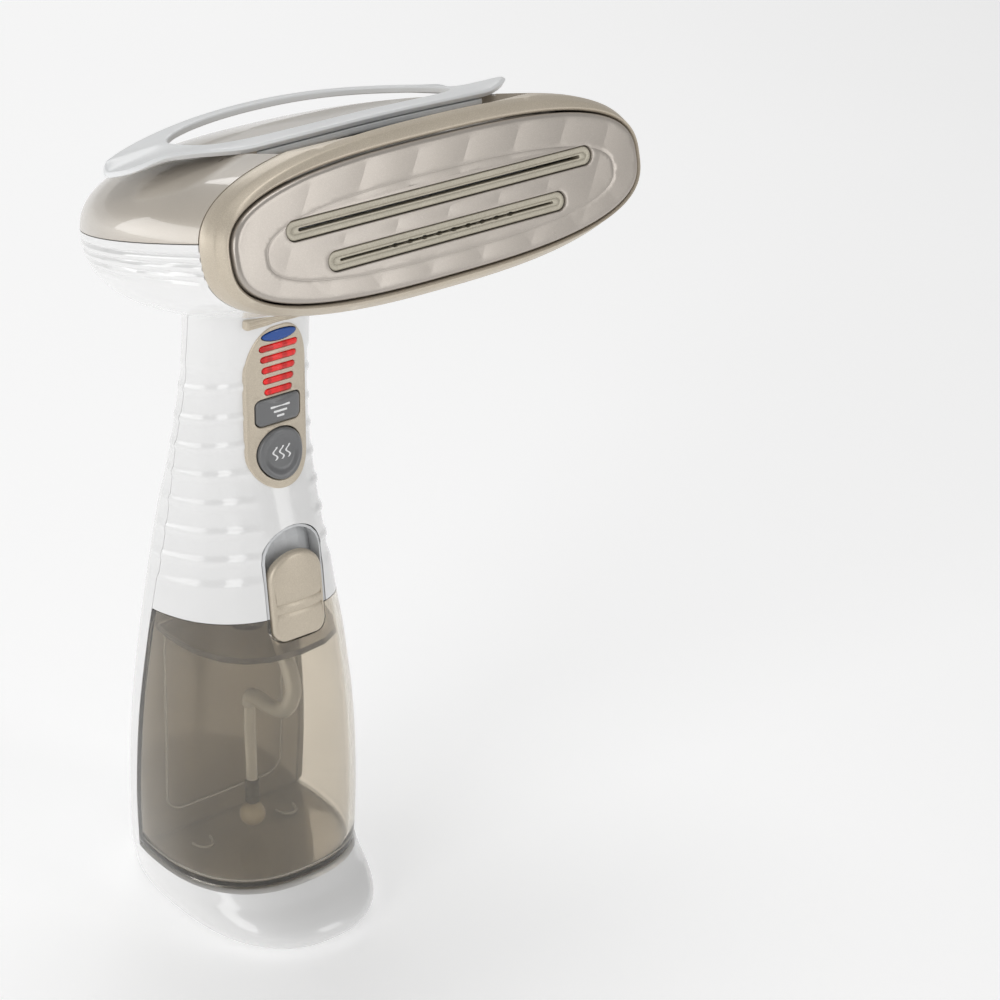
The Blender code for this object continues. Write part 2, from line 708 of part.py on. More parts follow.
def make_grip(windows):
    """Front shell of the grip, ribbed on its sides, with its panel pocket and latch opening."""
    edges = [rib + side * (RIB_HALF + far) for rib in RIB_HEIGHTS
             for side in (1, -1) for far in (0.0, 0.7)]
    ends = (110, RIB_HEIGHTS[-1] - 9.2, RIB_HEIGHTS[-1] - 8.4, RIB_HEIGHTS[0] + 8.4,
            RIB_HEIGHTS[0] + 9.2, 222, BODY_TOP)
    heights = sorted([*ends, *edges])
    shell = loft("grip_front_shell", [body_ring(z, ribbed=True) for z in heights], WHITE)
    keep(shell, front_of_seam("grip_front_region", -GAP / 2))
    cut(shell, body_skin("grip_hollow_cut", 100, 240, -WALL, INNER_RING),
        below_join("grip_end_cut", GAP / 2))
    pocket = prism("panel_pocket_cut", panel_outline(GAP), "Y", -60, -8)
    cut(pocket, body_skin("panel_pocket_floor", 160, 238, -1.1))
    behind_bars = rounded_box(8.0, 9.3, BAR_TOP - 2 * BAR_PITCH, 1.5, 2)
    cut(shell, pocket, *windows, prism("bars_window_cut", behind_bars, "Y", -60, -6))
    well = latch_outline(WELL_HALF_WIDTH + GAP, 100, WELL_TOP + GAP, 11.0)
    cut(shell, prism("well_opening_cut", well, "Y", -60, -12))
    z = UPPER_SCREW_HEIGHT
    combine(shell, block("screw_bridge", (-16.3, -16, z - 1), (16.3, -13, z + 2.5)), "UNION")
    combine(shell, cylinder("screw_post", 3.3, (0, -14.5, z), (0, 12.2, z), segments=14), "UNION")
    cut(shell, cylinder("screw_post_cut", 1.6, (0, 3, z), (0, 16, z), segments=12))


def make_panel(windows, slots):
    panel = on_surface("control_panel", panel_outline(), 0.9, -0.75, PANEL_BOTTOM, 230, GOLD)
    cut(panel, *windows, *slots)


def make_buttons():
    """Two push buttons, each a cap with a flange that keeps it behind the shell."""
    size_x, size_z, radius = SETTING_SIZE
    cap = rounded_box(size_x, size_z, SETTING_CENTRE, radius)
    setting = prism("setting_button", cap, "Y", -60, -15.6, BUTTON_GREY)
    keep(setting, body_skin("setting_top", 180, 214, 1.7))
    wide = rounded_box(size_x + FLANGE, size_z + FLANGE, SETTING_CENTRE, radius)
    combine(setting, prism("setting_flange", wide, "Y", -16.6, -15.6), "UNION")
    steam = cylinder("steam_button", STEAM_RADIUS, (0, -60, STEAM_CENTRE), (0, -15.6, STEAM_CENTRE),
                     BUTTON_GREY, segments=28)
    keep(steam, body_skin("steam_top", 165, 200, 2.2))
    combine(steam, cylinder("steam_flange", STEAM_RADIUS + FLANGE, (0, -16.7, STEAM_CENTRE),
                            (0, -15.6, STEAM_CENTRE)), "UNION")
    dish = cylinder("steam_dish_cut", 7.4, (0, -40, STEAM_CENTRE), (0, -23.0, STEAM_CENTRE),
                    segments=20, top_radius=5.4)
    cut(steam, dish)


def make_lights():
    """Light guide: one moulding whose five bars fill the panel's slots, and the ready lens."""
    back = rounded_box(8.6, 8.9, BAR_TOP - 2 * BAR_PITCH, 1.2, 2)
    guide = prism("level_light_guide", back, "Y", -16.9, -15.4, RED)
    for i, half in enumerate(BAR_HALF_WIDTHS):
        bar = prism("light_bar_%d" % (i + 1), stadium(half, BAR_TOP - BAR_PITCH * i,
                                                     BAR_HALF_HEIGHT, 3), "Y", -60, -16.2)
        keep(bar, body_skin("bar_top_%d" % (i + 1), 190, 232, 0.75))
        combine(guide, bar, "UNION")
    lens = prism("ready_lens", leaf_outline(6.7, 1.8, LENS_CENTRE), "Y", -60, -17.5, BLUE)
    keep(lens, body_skin("lens_top", 215, 236, 1.0))


def make_board():
    outline = rounded_box(12.5, 22.5, 196.0, 1.5, 2)
    prism("circuit_board", outline, "Y", -11.4, -9.8, BOARD_GREEN)
    for label, z in (("setting", SETTING_CENTRE), ("steam", STEAM_CENTRE)):
        body = prism(label + "_switch", rounded_box(3, 3, z, 0.4, 1), "Y", -13.9, -11.7, DARK_GREY)
        combine(body, cylinder(label + "_switch_stem", 1.6, (0, -14.2, z), (0, -13, z),
                               segments=12), "UNION")


def make_latch():
    outline = latch_outline(LATCH_HALF_WIDTH, LATCH_BOTTOM, LATCH_TOP, 9.5)
    latch = on_surface("tank_latch", outline, 1.0, -1.9, LATCH_BOTTOM, LATCH_TOP, GOLD)
    for z, half in ((130.1, 0.5), (126.2, 0.35)):
        groove = prism("latch_groove_%d" % z, [(-14, z - half), (14, z - half), (14, z + half),
                                               (-14, z + half)], "Y", -60, -8)
        cut(groove, body_skin("latch_groove_floor_%d" % z, 108, 150, 0.45))
        cut(latch, groove)


def make_well():
    """Cup behind the latch: its floor shows as the finger recess when the latch is down."""
    outer = latch_outline(WELL_HALF_WIDTH, 101, WELL_TOP, 11.0)
    well = on_surface("latch_well", outer, -0.2, -HOLD_DEPTH - 1.3, 106, WELL_TOP, WELL_GREY)
    inner = latch_outline(WELL_HALF_WIDTH - 0.8, 99, WELL_TOP - 0.8, 10.4)
    space = prism("well_space_cut", inner, "Y", -60, -8)
    cut(space, body_skin("well_floor", 95, 170, -HOLD_DEPTH))
    cut(well, space, below_join("well_end_cut", GAP / 2))


def make_spring(name, radius, wire, turns, start, height, tilt=0.0):
    points = []
    for i in range(turns * SPRING_STEPS + 1):
        turn = 2 * math.pi * i / SPRING_STEPS
        rise = height * i / (turns * SPRING_STEPS)
        points.append((start[0] + radius * math.cos(turn),
                       start[1] + radius * math.sin(turn) + tilt * rise, start[2] + rise))
    tube(name, points, wire, STEEL, 0)


def make_back_housing():
    """Back spine and standing foot in one moulding, with the cord's way in at the back."""
    foot = [body_ring(z, levels=FOOT_LEVELS) for z, *_ in FOOT_LEVELS]
    rest = [body_ring(z) for z, *_ in BODY_LEVELS]
    housing = loft("back_housing", foot + rest, WHITE)
    cut(housing, front_of_seam("tank_bay_cut", GAP / 2, DECK_TOP))
    mouth = body_ring(FOOT_LEVELS[0][0], -2.0, FOOT_LEVELS, count=INNER_RING)
    low = [[(x, y, z) for x, y, _ in mouth] for z in (-3.0, 2.0)]
    low += [body_ring(z, -2.6, FOOT_LEVELS, count=INNER_RING) for z in (5, 11, 16.0)]
    cut(housing, loft("foot_hollow_cut", low))
    spine = body_skin("spine_hollow_cut", DECK_TOP + 0.1, 245, -WALL, INNER_RING)
    cut(housing, spine, block("lead_way_cut", (-14, 24, 14), (14, 38, 20)))
    cut(housing, cylinder("gland_hole_cut", 5.2, (0, 40, GLAND_HEIGHT), (0, 60, GLAND_HEIGHT)))
    for z in (LOWER_SCREW_HEIGHT, UPPER_SCREW_HEIGHT):
        y = smooth_between(BODY_LEVELS, z, 3)
        cut(housing, cylinder("screw_hole_%d" % z, 1.9, (0, y - 12, z), (0, y + 12, z),
                              segments=12))
        cut(housing, cylinder("screw_seat_%d" % z, 3.3, (0, y - SEAT, z), (0, y + 12, z),
                              segments=16))
    for side in (-1, 1):
        x = side * BASE_SCREW_X
        combine(housing, cylinder("base_boss_%d" % side, 3.2, (x, 0, 4.2), (x, 0, 17), segments=16),
                "UNION")
        cut(housing, cylinder("base_boss_cut_%d" % side, 1.6, (x, 0, 0), (x, 0, 12), segments=12))


def make_spine_cover():
    """Wall that closes the spine behind the tank."""
    cover = body_skin("spine_cover", DECK_TOP + 0.4, 114, -WALL - GAP, INNER_RING)
    keep(cover, block("spine_cover_slab", (-60, -60, TANK_FLOOR), (60, 60, 114)))
    cover_finish(cover, WHITE)
    keep(cover, front_of_seam("spine_cover_front", 2.4, DECK_TOP - 3))
    cut(cover, front_of_seam("spine_cover_back", GAP + 0.15, DECK_TOP - 3))


def cover_finish(obj, finish):
    """Moves a helper solid into the parts with a finish of its own."""
    CUTTERS.objects.unlink(obj)
    PARTS.objects.link(obj)
    obj.hide_render = False
    obj.display_type = "TEXTURED"
    obj.data.materials.append(finish)


def make_base():
    plate = prism("base_plate", [(x * 0.9, y * 0.93) for x, y, _ in body_ring(
        0.6, 0, FOOT_LEVELS, count=28)], "Z", 1.5, 3.5, WHITE)
    prism("base_pad", oval(22, -PAD_REACH, PAD_REACH, 0, 2.4, 28), "Z", 0.0, 1.2, RUBBER)
    for label, side in (("left", -1), ("right", 1)):
        x = side * BASE_SCREW_X
        cut(plate, cylinder("base_screw_cut_" + label, 1.8, (x, 0, 0), (x, 0, 8), segments=12))
        screw("base_screw_" + label, (x, 0, 0.3), (0, 0, 1), 10.0)


def screw(name, place, along, length):
    """Pan head screw: place is the outer face of its head."""
    along = Vector(along)
    start = Vector(place)
    made = cylinder(name, 2.7, start, start + along * SCREW_HEAD, STEEL, segments=14)
    shank = cylinder(name + "_shank", 1.25, start + along * SCREW_HEAD / 2, start + along * length,
                     segments=10)
    combine(made, shank, "UNION")


def make_gland():
    profile = [(3.2, -4), (3.2, 3.2), (5.6, 3.2), (6.4, 2.2), (6.4, 1.0), (4.9, 1.0), (4.9, -4)]
    turned("cord_gland", profile, (0, 0, 0), RUBBER, 18)
    gland = bpy.data.objects["cord_gland"]
    gland.rotation_euler = (-math.pi / 2, 0, 0)
    gland.location = Vector((0, 49.6, GLAND_HEIGHT)) * MM


def make_bulkhead():
    """Floor of the grip above the tank, on the sloped join, with the water inlet through it."""
    heights = (100, 110, 120, 130, 140)
    floor = loft("grip_floor", [body_ring(z, -WALL - GAP, count=INNER_RING) for z in heights])
    cover_finish(floor, WHITE)
    keep(floor, above_join("grip_floor_low", 1.2))
    keep(floor, below_join("grip_floor_high", 3.4))
    keep(floor, front_of_seam("grip_floor_back", -0.6))
    well = latch_outline(WELL_HALF_WIDTH + GAP, 95, WELL_TOP, 11.0)
    cut(floor, prism("grip_floor_well_cut", well, "Y", -60, -22.0))
    combine(floor, cylinder("inlet_socket", 4.6, (0, OUTLET_Y, OUTLET_TOP + 1.3),
                            (0, OUTLET_Y, 126), segments=20), "UNION")
    cut(floor, cylinder("inlet_socket_cut", 2.9, (0, OUTLET_Y, 100), (0, OUTLET_Y, 140),
                        segments=14))
    z = LOWER_SCREW_HEIGHT
    combine(floor, cylinder("floor_post", 3.2, (0, 10, z), (0, 35.8, z), segments=16), "UNION")
    cut(floor, cylinder("floor_post_cut", 1.6, (0, 25, z), (0, 40, z), segments=12))


def make_pump():
    """Solenoid pump in the grip: body with a straight bore, coil, plunger, spring and cap."""
    x, y = PUMP_AXIS
    profile = [(4.4, 0), (4.4, 34), (7.0, 34), (7.0, 4), (5.0, 3), (5.0, 0)]
    turned("pump_body", profile, (x, y, 140), WELL_GREY, 18)
    coil = [(7.4, 0), (7.4, 18), (11.6, 18), (12.2, 17), (12.2, 1), (11.6, 0)]
    turned("pump_coil", coil, (x, y, 148), COPPER, 20)
    cylinder("pump_plunger", 4.0, (x, y, 150.5), (x, y, 164), STEEL, segments=16)
    cylinder("pump_inlet_valve", 3.9, (x, y, 141), (x, y, 147), SILICONE, segments=16)
    cap = cylinder("pump_cap", 6.6, (x, y, 174.4), (x, y, 177.4), WELL_GREY, segments=18)
    combine(cap, cylinder("pump_cap_nipple", 2.2, (x, y, 177), (x, y, 181), segments=12), "UNION")
    make_spring("pump_spring", 2.9, 0.35, 4, (x, y, 168.2), 5.2)


def make_water_tubes():
    x, y = PUMP_AXIS
    rising = [(0, OUTLET_Y, OUTLET_TOP + 3), (0, OUTLET_Y, 126), (0, -16, 131), (0, -6, 133),
              (x, y - 5, 134), (x, y, 139.2)]
    tube("pump_inlet_tube", smooth_route(rising, 4.0), 2.2, SILICONE, 1)
    feed = [(x, y, 181.6), (x + 1, y, 188), (7, 5, 202), (8, 0, 218), (8, -8, 238),
            (5, -30, 256), head_point(0, 46, INLET_V), head_point(0, 20.6, INLET_V)]
    tube("boiler_feed_tube", smooth_route(feed, 8.0), 2.2, SILICONE, 1)


def head_point(x, s, v):
    """World place, in millimetres, of a point given in the head's frame."""
    tilt = math.radians(HEAD_TILT)
    return (PLATE_POINT[0] + x, PLATE_POINT[1] + s * math.cos(tilt) + v * math.sin(tilt),
            PLATE_POINT[2] - s * math.sin(tilt) + v * math.cos(tilt))


def make_leads():
    """Mains lead inside the object: gland to circuit board, then board to the element."""
    mains = [(0, 44.0, GLAND_HEIGHT), (-2, 37, 10), (-9, 31, 17), (-10, 31, 60), (-10, 29, 105),
             (-11, 26, 135), (-16, 14, 160), (-14, 0, 176), (-8, -7.4, 188)]
    tube("mains_lead", smooth_route(mains, 11.0), 1.6, LEAD_GREY, 1)
    heater = [(-9, -7.4, 205), (-9, -5, 222), (-10, -12, 241), head_point(-24, 62, 4),
              head_point(-38, 44, INLET_V), head_point(-38, 28, INLET_V)]
    tube("heater_lead", smooth_route(heater, 10.0), 1.6, LEAD_GREY, 1)


def make_tank():
    """Clear tank: open top under the lid, sloped skirt, and a notch for the latch."""
    steps = ((TANK_FLOOR, -2.4), (TANK_FLOOR + 0.5, -1.1), (TANK_FLOOR + 1.6, -0.3),
             (TANK_FLOOR + 3.2, 0.0))
    rings = [[(x, y, z) for x, y, _ in body_ring(max(z, 19), grow)] for z, grow in steps]
    rings += [body_ring(z) for z in (34, 50, 70, 90, 110, 131)]
    tank = loft("water_tank", rings, SMOKE)
    keep(tank, below_join("tank_top_region", -GAP / 2))
    keep(tank, front_of_seam("tank_back_region", -GAP))
    inner = body_skin("tank_hollow_cut", TANK_FLOOR + 2.2, 140, -TANK_WALL, INNER_RING)
    keep(inner, front_of_seam("tank_hollow_back", -GAP - TANK_WALL))
    cut(tank, inner)
    notch = latch_outline(LATCH_HALF_WIDTH + NOTCH_ROOM, LATCH_BOTTOM - NOTCH_ROOM, 160, 11.0, 1.0)
    cut(tank, prism("tank_notch_cut", notch, "Y", -60, -22))


def make_lid():
    """Plate that closes the tank, with the fill hole and the outlet under the latch."""
    low = LID_TOP - LID_THICK
    lid = body_skin("tank_lid", low, LID_TOP, -TANK_WALL - GAP, INNER_RING)
    keep(lid, block("tank_lid_slab", (-60, -60, low), (60, 60, LID_TOP)))
    cover_finish(lid, SMOKE_DARK)
    keep(lid, front_of_seam("tank_lid_back", -2 * GAP - TANK_WALL))
    cut(lid, cylinder("fill_hole_cut", 6.6, (0, 0, 100), (0, 0, 120), segments=20))
    cut(lid, cylinder("outlet_hole_cut", 3.8, (0, OUTLET_Y, 100), (0, OUTLET_Y, 120), segments=16))
    plug = [(0.0, 4.4), (7.6, 4.4), (8.4, 3.6), (8.4, 2.5), (6.2, 2.5), (6.0, -2.4), (0.0, -2.4)]
    turned("fill_plug", plug, (0, 0, LID_TOP - 2.2), RUBBER, 20)


def make_suction():
    """Outlet elbow, hanging hose, filter sleeve and ball weight: they follow the water."""
    outlet = [(0, OUTLET_Y, OUTLET_TOP), (0, OUTLET_Y, 107), (0, -24.5, 100), (0, -26.6, 92),
              (0, -22.5, 83.2), (0, -14.5, 79.6), (0, -6.5, 79.6), (0, -1.6, 78.6),
              (0, -0.6, 76.8), (0, -0.6, 74.8)]
    tube("suction_elbow", smooth_route(outlet, 5.0), 2.9, SILICONE, 1)
    tube("suction_hose", smooth_route(HOSE_ROUTE, 8.0), 2.1, SILICONE)
    cylinder("hose_sleeve", 2.6, (*HOSE_ROUTE[-1][:2], 43.6), (*HOSE_ROUTE[-1][:2], 34.1), OLIVE)
    bm = bmesh.new()
    bmesh.ops.create_uvsphere(bm, u_segments=14, v_segments=9, radius=4.7)
    bmesh.ops.translate(bm, vec=(*HOSE_ROUTE[-1][:2], 29.1), verts=bm.verts)
    add_object("hose_ball", bm, BEIGE)
    seal = [(3.3, -1.2), (3.3, 0.8), (4.6, 0.8), (4.6, -1.2)]
    turned("outlet_seal", seal, (0, OUTLET_Y, OUTLET_TOP), RUBBER, 18)


def make_housing_screws():
    for label, z in (("lower", LOWER_SCREW_HEIGHT), ("upper", UPPER_SCREW_HEIGHT)):
        y = smooth_between(BODY_LEVELS, z, 3)
        screw("housing_screw_" + label, (0, y - SEAT + GAP + SCREW_HEAD, z), (0, -1, 0), 10.5)


clear_scene()
PARTS = new_collection("handheld_steamer")
CUTTERS = new_collection("cutters", hidden=True)

WHITE = material("gloss_white_plastic", (0.86, 0.86, 0.86), 0.22)
CHAMPAGNE = material("champagne_gloss", (0.55, 0.49, 0.41), 0.18, 0.25)
GOLD = material("champagne_metallic", (0.52, 0.45, 0.35), 0.34, 0.75)
PEARL = material("pearl_ceramic", (0.66, 0.61, 0.57), 0.3, 0.5)
INSERT = material("slot_insert", (0.50, 0.48, 0.37), 0.45, 0.3)
CAST = material("cast_aluminium", (0.62, 0.62, 0.62), 0.5, 1.0)
STEEL = material("steel", (0.6, 0.6, 0.6), 0.3, 1.0)
COPPER = material("copper_winding", (0.6, 0.27, 0.13), 0.4, 0.9)
CERAMIC = material("white_ceramic", (0.8, 0.78, 0.72), 0.5)
RUBBER = material("dark_rubber", (0.05, 0.05, 0.05), 0.7)
FRAME_GREY = material("frame_light_grey", (0.78, 0.79, 0.79), 0.4)
PAD_GREY = material("soft_pad", (0.70, 0.71, 0.71), 0.7)
DARK_GREY = material("dark_plastic", (0.16, 0.16, 0.16), 0.4)
BUTTON_GREY = material("button_grey", (0.18, 0.18, 0.18), 0.35)
WELL_GREY = material("well_grey", (0.70, 0.71, 0.72), 0.35)
RED = material("red_light_bars", (0.80, 0.01, 0.01), 0.25)
BLUE = material("blue_lens", (0.02, 0.12, 0.50), 0.2)
BOARD_GREEN = material("board_green", (0.03, 0.22, 0.10), 0.5)
SILICONE = material("clear_silicone", (0.75, 0.73, 0.68), 0.35, see_through=0.5)
SMOKE = material("smoke_tank", (0.48, 0.43, 0.37), 0.08, see_through=0.85)
SMOKE_DARK = material("smoke_tank_lid", (0.40, 0.36, 0.31), 0.15, see_through=0.6)
OLIVE = material("olive_sleeve", (0.09, 0.085, 0.06), 0.6)
BEIGE = material("beige_ball", (0.52, 0.45, 0.33), 0.45)
LEAD_GREY = material("lead_grey", (0.3, 0.3, 0.3), 0.6)

HEAD = bpy.data.objects.new("head_frame", None)
PARTS.objects.link(HEAD)
HEAD.location = Vector(PLATE_POINT) * MM
HEAD.rotation_euler = (-math.radians(HEAD_TILT), 0, 0)

make_soleplate(HEAD)
make_inserts(HEAD)
make_bezel(HEAD)
make_gasket(HEAD)
make_boiler(HEAD)
make_heater(HEAD)
make_heat_shield(HEAD)
make_head_shells(HEAD)
make_attachment(HEAD)
make_collar()
WINDOWS, BAR_SLOTS = window_cutters()
make_grip(WINDOWS)
make_panel(WINDOWS, BAR_SLOTS)
make_buttons()
make_lights()
make_board()
make_latch()
make_well()
make_spring("latch_spring", 0.95, 0.2, 4, (0, -28.05, 131.5), 12.0, 0.11)
make_back_housing()
make_spine_cover()
make_base()
make_gland()
make_bulkhead()
make_pump()
make_water_tubes()
make_leads()
make_tank()
make_lid()
make_suction()
make_housing_screws()
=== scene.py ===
"""Looks of a handheld garment steamer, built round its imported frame.

Shapes are worked out in millimetres in the frame's own axes: the soleplate faces -Y and +Z is up.
"""

import json
import math

import bmesh
import bpy
import numpy as np
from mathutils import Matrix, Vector
from mathutils.geometry import delaunay_2d_cdt


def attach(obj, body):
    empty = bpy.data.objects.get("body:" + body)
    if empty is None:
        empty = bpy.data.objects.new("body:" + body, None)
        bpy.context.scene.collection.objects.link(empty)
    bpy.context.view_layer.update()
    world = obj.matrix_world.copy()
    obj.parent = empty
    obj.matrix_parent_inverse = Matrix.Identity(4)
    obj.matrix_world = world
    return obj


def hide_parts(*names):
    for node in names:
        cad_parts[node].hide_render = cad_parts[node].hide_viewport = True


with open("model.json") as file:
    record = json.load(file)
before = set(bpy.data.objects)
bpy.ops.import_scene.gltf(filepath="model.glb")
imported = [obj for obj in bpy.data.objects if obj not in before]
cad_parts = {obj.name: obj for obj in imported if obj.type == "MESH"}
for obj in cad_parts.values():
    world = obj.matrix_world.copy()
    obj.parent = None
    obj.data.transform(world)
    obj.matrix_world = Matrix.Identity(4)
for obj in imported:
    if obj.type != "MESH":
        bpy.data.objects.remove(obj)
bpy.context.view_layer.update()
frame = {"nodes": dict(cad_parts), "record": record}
NODES = frame["nodes"]
MM = 0.001
GAP = 0.3
WALL = 2.2

# Head: X across, S back from the soleplate, V up the plate.
PLATE_POINT = (0.0, -109.0, 286.0)
TILT = math.radians(14.7)
PLATE_HALF, PLATE_LOW, PLATE_HIGH = 75.0, -13.0, 28.0
PLATE_PROUD = 1.2
BEZEL_DEPTH = 11.0
HEAD_HALF, HEAD_LOW, HEAD_HIGH, HEAD_DEPTH = 79.0, -18.0, 34.8, 150.0
UPPER_SLOT, LOWER_SLOT, SLOT_HALF = (57.0, 11.4), (44.5, 0.0), 3.1
HEAD_SEAM, HEAD_SEAM_DROP = 12.8, 0.03
GROOVE_LINES, GROOVE_HALF, GROOVE_DEPTH = (3.0, 5.7, 8.4, 11.1), 0.95, 0.85
FACET_LEAN, FACET_PITCH, FACET_SHIFTS = 0.59, 19.0, (3.0, -4.0)

# Height, half width, front and back of the level sections.
FOOT_LEVELS = ((0.6, 31.5, -48.5, 48.5), (2.0, 33.8, -50.6, 50.0), (5.0, 35.2, -51.6, 50.5),
               (8.0, 35.8, -50.4, 50.3), (11.0, 36.3, -46.8, 49.8), (14.5, 36.8, -41.2, 49.0),
               (18.7, 37.2, -36.6, 47.3))
BODY_LEVELS = ((19.0, 37.2, -35.5, 47.2), (45.0, 38.0, -35.5, 45.0), (75.0, 36.5, -35.2, 43.0),
               (105.0, 32.3, -34.0, 40.5), (125.0, 28.6, -32.2, 38.6), (150.0, 24.5, -29.4, 34.6),
               (165.0, 23.2, -25.4, 29.0), (180.0, 22.6, -21.6, 24.0), (195.0, 21.6, -20.7, 20.2),
               (210.0, 21.0, -21.0, 17.0), (236.0, 20.5, -22.4, 15.6))
SEAM_LEVELS = ((0, 19.2), (25, 19.0), (60, 17.5), (116, 15.4), (140, 14.0), (167, 11.5),
               (200, 4.5), (225, 1.0), (250, -1.0))
BODY_ROUND = 2.4
SHARP_ANGLE = math.radians(38.0)
DECK_TOP = 18.7
TANK_FLOOR = 19.1
TANK_WALL = 2.0
RIB_HEIGHTS = (201.0, 189.6, 178.8, 168.0, 157.2, 146.6, 136.2)
RIB_DEPTH, RIB_SLOPE = 0.6, 0.27
RIB_END, RIB_FADE = 9.4, 6.0
JOIN_HEIGHT, JOIN_SLOPE = 118.9, -0.205

# Controls on the front of the grip.
PANEL_HALF, PANEL_LOW, PANEL_HIGH = 12.2, 169.5, 227.5
PANEL_CORNER = (10.5, 17.0)
SETTING_CENTRE, SETTING_SIZE = 196.9, (8.8, 4.7, 2.2)
STEAM_CENTRE, STEAM_RADIUS = 181.6, 8.8
BAR_TOP, BAR_PITCH, BAR_HALVES, BAR_HIGH = 220.0, 3.95, (7.4, 6.9, 6.4, 5.9, 5.3), 0.95
LENS_CENTRE = 224.2
LATCH_HALF, LATCH_LOW, LATCH_HIGH = 10.8, 116.3, 147.5
WELL_HALF, WELL_HIGH = 12.0, 156.4

# Attachment on top of the head.
RIDER_HALF, RIDER_FRONT, RIDER_MIDDLE, RIDER_BACK = 68.5, 24.0, 72.0, 95.0
RIDER_WINDOW, RIDER_WINDOW_ROUND = (47.0, 35.5, 88.0), 2.8
RIDER_THICK, RIDER_FRONT_ROUND, RIDER_BACK_ROUND = 2.2, 2.9, 2.1
RIDER_HEIGHT, RIDER_RISE = 34.8, 0.055
RIDER_LIFT, RIDER_LIFT_SPAN = 4.5, (43.0, 69.0)
RIDER_DROOP, RIDER_DROOP_SPAN = 11.0, (63.0, 79.0)
RIDER_BOW_FRONT, RIDER_BOW_BACK = 3.5, 7.5
RIDER_PAD = (42.0, 23.9, 36.5, 30.2)
DOCK_HALF, DOCK_FLOOR, DOCK_BACK = 47.0, 26.6, 50.5

OUTLET_Y, OUTLET_TOP = -20.0, 115.2
HOSE_ROUTE = ((0, -0.6, 74.0), (0, -0.3, 66.0), (0, -0.6, 54.0), (0, -0.8, 43.9))
GLAND_HEIGHT = 9.0
SCREW_HEIGHTS = (121.5, 222.5)


# ---- camera

def make_camera():
    data = bpy.data.cameras.new("camera")
    data.lens = 97.2
    data.sensor_width = 36
    data.shift_x = 0.14
    camera = bpy.data.objects.new("camera", data)
    bpy.context.scene.collection.objects.link(camera)
    camera.location = (-0.469, -0.6875, 0.5645)
    camera.rotation_euler = (math.radians(63.78), 0, math.radians(-37.03))
    bpy.context.scene.camera = camera


# ---- materials

class Finish:
    """A Principled material with small helpers for its textures, in object coordinates."""

    def __init__(self, name, colour, roughness, **sockets):
        self.made = bpy.data.materials.new(name)
        self.made.use_nodes = True
        self.tree = self.made.node_tree
        self.shader = self.tree.nodes["Principled BSDF"]
        self.colour = colour
        self.roughness = roughness
        self.set("Base Color", (*colour, 1.0))
        self.set("Roughness", roughness)
        for socket, value in sockets.items():
            self.set(socket.replace("_", " "), value)
        self.place = self.tree.nodes.new("ShaderNodeTexCoord").outputs["Object"]

    def set(self, socket, value):
        self.shader.inputs[socket].default_value = value

    def link(self, start, end):
        self.tree.links.new(start, end)

    def node(self, kind, **values):
        made = self.tree.nodes.new(kind)
        for key, value in values.items():
            setattr(made, key, value)
        return made

    def noise(self, scale, detail=3.0, stretch=(1, 1, 1)):
        place = self.node("ShaderNodeMapping")
        place.inputs["Scale"].default_value = stretch
        self.link(self.place, place.inputs["Vector"])
        noise = self.node("ShaderNodeTexNoise")
        noise.inputs["Scale"].default_value = scale
        noise.inputs["Detail"].default_value = detail
        self.link(place.outputs["Vector"], noise.inputs["Vector"])
        return noise.outputs["Fac"]

    def flakes(self, scale):
        cells = self.node("ShaderNodeTexVoronoi")
        cells.inputs["Scale"].default_value = scale
        self.link(self.place, cells.inputs["Vector"])
        split = self.node("ShaderNodeSeparateColor")
        self.link(cells.outputs["Color"], split.inputs["Color"])
        return split.outputs["Red"]

    def ramp(self, value, low, high, start, end):
        made = self.node("ShaderNodeMapRange")
        for socket, number in (("From Min", low), ("From Max", high), ("To Min", start),
                               ("To Max", end)):
            made.inputs[socket].default_value = number
        self.link(value, made.inputs["Value"])
        return made.outputs["Result"]

    def mix(self, share, first, second):
        made = self.node("ShaderNodeMix", data_type="RGBA")
        self.link(share, made.inputs["Factor"])
        for socket, colour in zip(made.inputs[6:8], (first, second)):
            if isinstance(colour, tuple):
                socket.default_value = (*colour, 1.0)
            else:
                self.link(colour, socket)
        return made.outputs[2]

    def vary(self, scale, amount, gloss=0.0):
        """Slow drift of colour and gloss over the surface."""
        drift = self.noise(scale)
        dark = tuple(c * (1 - amount) for c in self.colour)
        light = tuple(min(c * (1 + amount), 1.0) for c in self.colour)
        tone = self.mix(self.ramp(drift, 0.3, 0.7, 0.0, 1.0), dark, light)
        self.link(tone, self.shader.inputs["Base Color"])
        if gloss:
            rough = self.ramp(self.noise(scale * 2.3), 0.25, 0.75,
                              self.roughness - gloss, self.roughness + gloss)
            self.link(rough, self.shader.inputs["Roughness"])
        return tone

    def over(self, tone, share, colour):
        """Puts a second colour over a tone by a share from 0 to 1."""
        mixed = self.mix(share, tone, colour)
        self.link(mixed, self.shader.inputs["Base Color"])
        return mixed

    def edge_wear_and_highlight(self, low, high):
        """Share of edge lightening, from how sharply the surface turns: wear on rubber, a painted
        highlight on the metallic finish, a slight lightening on plastic.
        """
        shape = self.node("ShaderNodeNewGeometry")
        return self.ramp(shape.outputs["Pointiness"], low, high, 0.0, 1.0)

    def bump(self, *layers):
        """Relief from (texture, strength, depth in millimetres) layers."""
        last = None
        for texture, strength, depth in layers:
            made = self.node("ShaderNodeBump")
            made.inputs["Strength"].default_value = strength
            made.inputs["Distance"].default_value = depth * MM
            self.link(texture, made.inputs["Height"])
            if last is not None:
                self.link(last, made.inputs["Normal"])
            last = made.outputs["Normal"]
        self.link(last, self.shader.inputs["Normal"])


